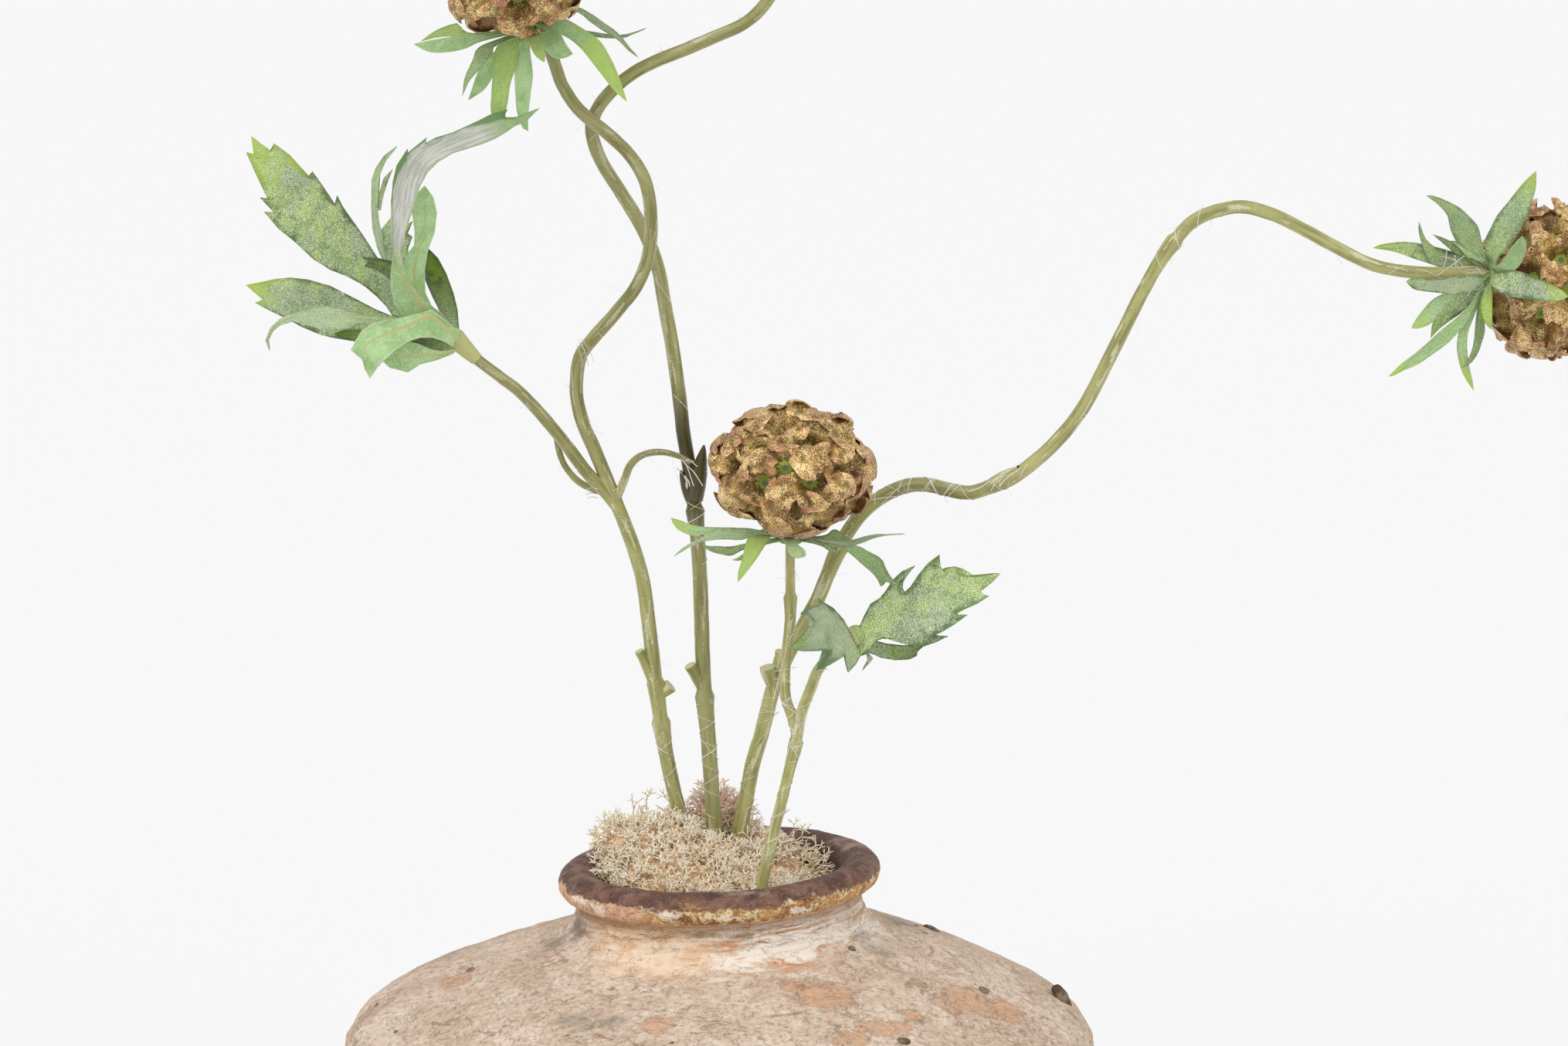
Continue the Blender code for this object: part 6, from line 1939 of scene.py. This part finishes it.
# %% Leaf tables
# Each leaf: print (lime tip, silver, sage weave, dark), rib (column, line, depth), one side, other side
LEAVES = {
    "leaf_spray_left": {
        "big": (
            (1, 0, 0, 0),
            [(536, 418, 4), (511, 393, 9), (488, 368, 10), (455, 328, 10), (413, 278, 8), (373, 227, 6),
             (345, 194, 4), (325, 176, 4)],
            [(516, 421), (500, 396), (488, 382), (472, 368), (449, 356), (427, 347), (407, 334),
             (385, 314), (362, 295), (343, 272), (355, 273), (346, 264), (337, 255), (347, 257),
             (331, 222), (319, 197), (329, 200), (325, 176)],
            [(542, 410), (522, 384), (507, 356), (488, 331), (476, 313), (458, 286), (443, 264),
             (437, 252), (434, 264), (413, 232), (405, 221), (400, 227), (376, 201), (355, 185),
             (351, 196), (325, 176)]),
        "second": (
            (0.9, 0, 0, 0),
            [(536, 421, 2), (494, 414, 5), (446, 404, 5), (404, 387, 3), (362, 377, 1), (318, 369, 0)],
            [(533, 429), (494, 429), (458, 441), (432, 436), (413, 431), (390, 422), (376, 414),
             (356, 404), (331, 391), (341, 388), (318, 369)],
            [(536, 415), (505, 408), (488, 401), (466, 389), (446, 379), (427, 369), (399, 361),
             (376, 359), (356, 361), (334, 366), (318, 369)]),
        "curled": (
            (0, 0.25, 0.5, 0),
            [(533, 421, 0), (500, 415, -4), (460, 411, -8), (415, 407, -11), (373, 411, -13),
             (349, 429, -12), (349, 455, -10)],
            [(536, 429), (500, 422), (465, 420), (443, 427), (413, 425), (379, 416), (362, 421),
             (354, 428), (348, 440), (349, 455)],
            [(533, 414), (500, 410), (465, 406), (446, 399), (427, 395), (404, 396), (382, 403),
             (362, 413), (349, 426), (344, 441), (349, 455)]),
        "arching": (
            (0, 1, 0.9, 0.3),
            [(594, 441, 0), (556, 404, -4), (530, 370, -7), (514, 340, -8), (517, 300, -8),
             (523, 264, -8), (530, 230, -7), (549, 202, -6), (589, 182, -6), (634, 166, -8),
             (699, 140, -11)],
            [(589, 446), (559, 424), (523, 411), (511, 393), (506, 370), (506, 351), (509, 328),
             (507, 286), (507, 258), (509, 233), (514, 213), (528, 192), (525, 200), (553, 177),
             (550, 186), (564, 178), (587, 171), (619, 156), (634, 148), (657, 141), (651, 153),
             (665, 154), (699, 140)],
            [(596, 432), (570, 404), (544, 384), (528, 362), (518, 328), (526, 298), (535, 267),
             (544, 241), (554, 222), (567, 209), (587, 198), (600, 194), (623, 186), (642, 179),
             (657, 170), (667, 163), (682, 156), (699, 140)]),
        "upright": (
            (0, 0, 1, 0),
            [(589, 436, 2), (561, 404, 3), (544, 382, 4), (536, 354, 4), (542, 326, 3), (550, 295, 3),
             (550, 272, 2), (550, 240, 1)],
            [(584, 441), (553, 404), (533, 379), (522, 351), (526, 331), (536, 317), (537, 300),
             (535, 283), (532, 269), (540, 250), (550, 240)],
            [(596, 432), (573, 410), (559, 396), (551, 379), (550, 351), (554, 323), (563, 300),
             (566, 275), (561, 255), (550, 240)]),
        "front": (
            (0, 0, 1, 0),
            [(591, 438, -4), (559, 408, -8), (528, 421, -12), (500, 432, -15), (477, 443, -17),
             (470, 457, -18), (474, 471, -17), (479, 490, -16)],
            [(587, 448), (573, 441), (559, 436), (544, 436), (528, 442), (511, 453), (497, 466),
             (488, 477), (479, 490)],
            [(594, 429), (559, 401), (522, 411), (500, 413), (483, 418), (469, 427), (460, 441),
             (454, 453), (469, 464), (472, 477), (479, 490)]),
        "lower": (
            (0, 0, 0.8, 0),
            [(589, 453, -3), (567, 458, -6), (542, 459, -8), (516, 463, -9), (495, 467, -9)],
            [(584, 459), (564, 466), (544, 471), (528, 481), (505, 476), (495, 467)],
            [(587, 452), (575, 455), (559, 452), (542, 445), (525, 441), (508, 449), (495, 467)]),
        "inner": (
            (0, 0, 0, 0.8),
            [(589, 446, 1), (573, 446, 0), (556, 443, -2), (542, 442, -3), (528, 443, -2)],
            [(589, 452), (577, 454), (559, 453), (544, 449), (528, 443)],
            [(589, 441), (577, 442), (561, 434), (544, 435), (528, 443)]),
        "forked": (
            (0, 0, 0, 0.7), [(522, 384, 3), (511, 354, 0), (494, 342, -4), (477, 339, -6)],
            [(516, 393), (505, 361), (488, 349), (472, 344), (477, 339)],
            [(528, 379), (516, 340), (500, 336), (488, 333), (469, 332), (477, 339)]),
        "dark": (
            (0, 0, 0, 1), [(594, 429, 6), (582, 393, 12), (570, 362, 14), (561, 340, 15), (555, 322, 14)],
            [(589, 432), (571, 407), (560, 384), (551, 362), (550, 340), (555, 322)],
            [(594, 427), (592, 401), (587, 379), (578, 354), (567, 334), (555, 322)]),
        "tail": (
            (0, 0.3, 0.6, 0),
            [(533, 404, 6), (505, 345, 8), (491, 306, 8), (486, 267, 8), (487, 227, 8), (515, 188, 7)],
            [(528, 404), (500, 345), (488, 320), (482, 295), (481, 267), (481, 233), (486, 218),
             (497, 202), (515, 188)],
            [(539, 401), (509, 340), (500, 317), (492, 292), (489, 267), (491, 244), (492, 226),
             (501, 205), (515, 188)]),
        "split_tail": (
            (0, 0.2, 0.2, 0.3), [(491, 272, 8), (493, 250, 8), (500, 233, 7), (509, 218, 6)],
            [(489, 272), (491, 250), (497, 230), (509, 218)],
            [(493, 272), (497, 250), (502, 234), (509, 218)]),
        "hidden": (
            (0.9, 0, 0.2, 0),
            [(533, 379, 6), (516, 340, 8), (514, 306, 9), (509, 278, 10)],
            [(525, 379), (502, 340), (496, 314), (495, 295), (509, 278)],
            [(542, 379), (529, 340), (528, 317), (534, 306), (526, 300), (534, 286), (522, 295),
             (509, 278)]),
        # a leaf in the shade of the others, whose dark print is painted shade
        "shadowed": (
            (0, 0, 0, 1), [(488, 432, 3), (466, 431, 2), (432, 432, 0)],
            [(488, 443), (466, 443), (446, 438), (432, 432)],
            [(488, 427), (466, 427), (446, 427), (432, 432)]),
    },
    "leaf_spray_right": {
        "big": (
            (0.35, 0, 0, 0),
            [(1109, 835, -28), (1133, 818, -29), (1158, 802, -30), (1188, 786, -31), (1224, 769, -30),
             (1261, 755, -29), (1296, 742, -27)],
            [(1097, 824), (1113, 810), (1119, 796), (1127, 780), (1139, 772), (1148, 761), (1157, 747),
             (1168, 737), (1184, 730), (1174, 740), (1165, 752), (1161, 764), (1168, 768), (1178, 759),
             (1189, 742), (1201, 727), (1216, 716), (1210, 727), (1205, 744), (1214, 739), (1224, 734),
             (1236, 732), (1238, 741), (1249, 745), (1267, 744), (1296, 742)],
            [(1115, 848), (1127, 838), (1137, 827), (1146, 824), (1156, 825), (1168, 830), (1182, 835),
             (1196, 835), (1212, 829), (1227, 821), (1204, 823), (1220, 816), (1237, 806), (1252, 795),
             (1237, 797), (1226, 800), (1247, 788), (1265, 780), (1280, 771), (1261, 769), (1273, 762),
             (1285, 753), (1296, 742)]),
        "lower": (
            (0, 0, 0, 0.45),
            [(1109, 838, -27), (1133, 838, -25), (1160, 844, -22), (1191, 840, -19)],
            [(1105, 826), (1127, 827), (1148, 833), (1168, 835), (1197, 835)],
            [(1113, 849), (1127, 845), (1139, 851), (1158, 854), (1178, 852), (1187, 848), (1188, 843),
             (1197, 835)]),
        "folded": (
            (0, 0.3, 0.2, 0.5),
            [(1112, 846, -30), (1097, 828, -34), (1083, 812, -38), (1067, 810, -41), (1046, 826, -43),
             (1022, 840, -45)],
            [(1114, 848), (1108, 859), (1098, 869), (1095, 857), (1094, 847), (1075, 858), (1057, 866),
             (1067, 855), (1075, 848), (1078, 840), (1059, 841), (1040, 842), (1022, 841)],
            [(1110, 838), (1101, 818), (1091, 800), (1079, 786), (1068, 779), (1059, 773), (1062, 781),
             (1052, 783), (1042, 787), (1036, 793), (1048, 793), (1056, 803), (1048, 812), (1034, 826),
             (1022, 839)]),
        "shred": (
            (0, 0.3, 0, 0.2), [(1124, 846, -26), (1127, 853, -27), (1116, 868, -28)],
            [(1122, 848), (1123, 855), (1116, 868)], [(1126, 848), (1130, 853), (1116, 868)]),
    },
}
# The neck of each spray, on the end of its twig, with its radii
NECKS = {
    "leaf_spray_left": ([(-81.2, 4.1, 171.4), (-84.5, 3.3, 174.8), (-88.5, 2.5, 179)], (2.2, 3.6)),
    "leaf_spray_right": ([(38.7, -29, 78.1), (42, -28.6, 80.8), (46, -28.2, 83.6)], (2.4, 3.4)),
}

HUB_PRINT = {
    "leaf_spray_left": {"sage": 0.9, "edge": 0.1},
    "leaf_spray_right": {"lime": 2.0, "dark": 0.3, "edge": 0.5},
}

# %% Both sprays
HUB_RADIUS = 3.4                         # of the ball that joins a spray's leaves


def leaf_sheet(rib, sides, seed):
    """A leaf between a rib and two edges that the photo shows; the edges are as deep as the rib."""
    rib = as_rows([seen_at(*place) for place in rib])
    edges = []
    for side in sides:
        depth = np.interp(lengths_along(np.array(side)), lengths_along(rib), rib[:, 1])
        edges.append(as_rows([seen_at(*place, deep) for place, deep in zip(side, depth)]))
    return spread_sheet(rib, edges, seed)


for name, spray in LEAVES.items():
    leaves = Pile()
    for seed, (kind, rib, left, right) in enumerate(spray.values()):
        points, faces, values = leaf_sheet(rib, (left, right), seed)
        tone = dict(zip(PRINT, kind))
        tone["dark"] = tone["dark"] * (0.3 + values["share"])
        leaves.add(points, faces, **tone, **values)
    route, radii = NECKS[name]
    neck = [lifted(point) for point in smooth_path(route, 1.2)]
    points, faces = tube(neck, np.linspace(*radii, len(neck)), 16)
    leaves.add(points, faces, sage=1.0, edge=0.0)
    spots, faces = ball(HUB_RADIUS)
    leaves.add([lifted(route[-1]) + Vector((spot.x, spot.y * 0.8, spot.z)) for spot in spots], faces,
               **HUB_PRINT[name])
    settle(leaves.make(name + "_cut", printed_cloth, sharp=50), "leaf_fabric", name)
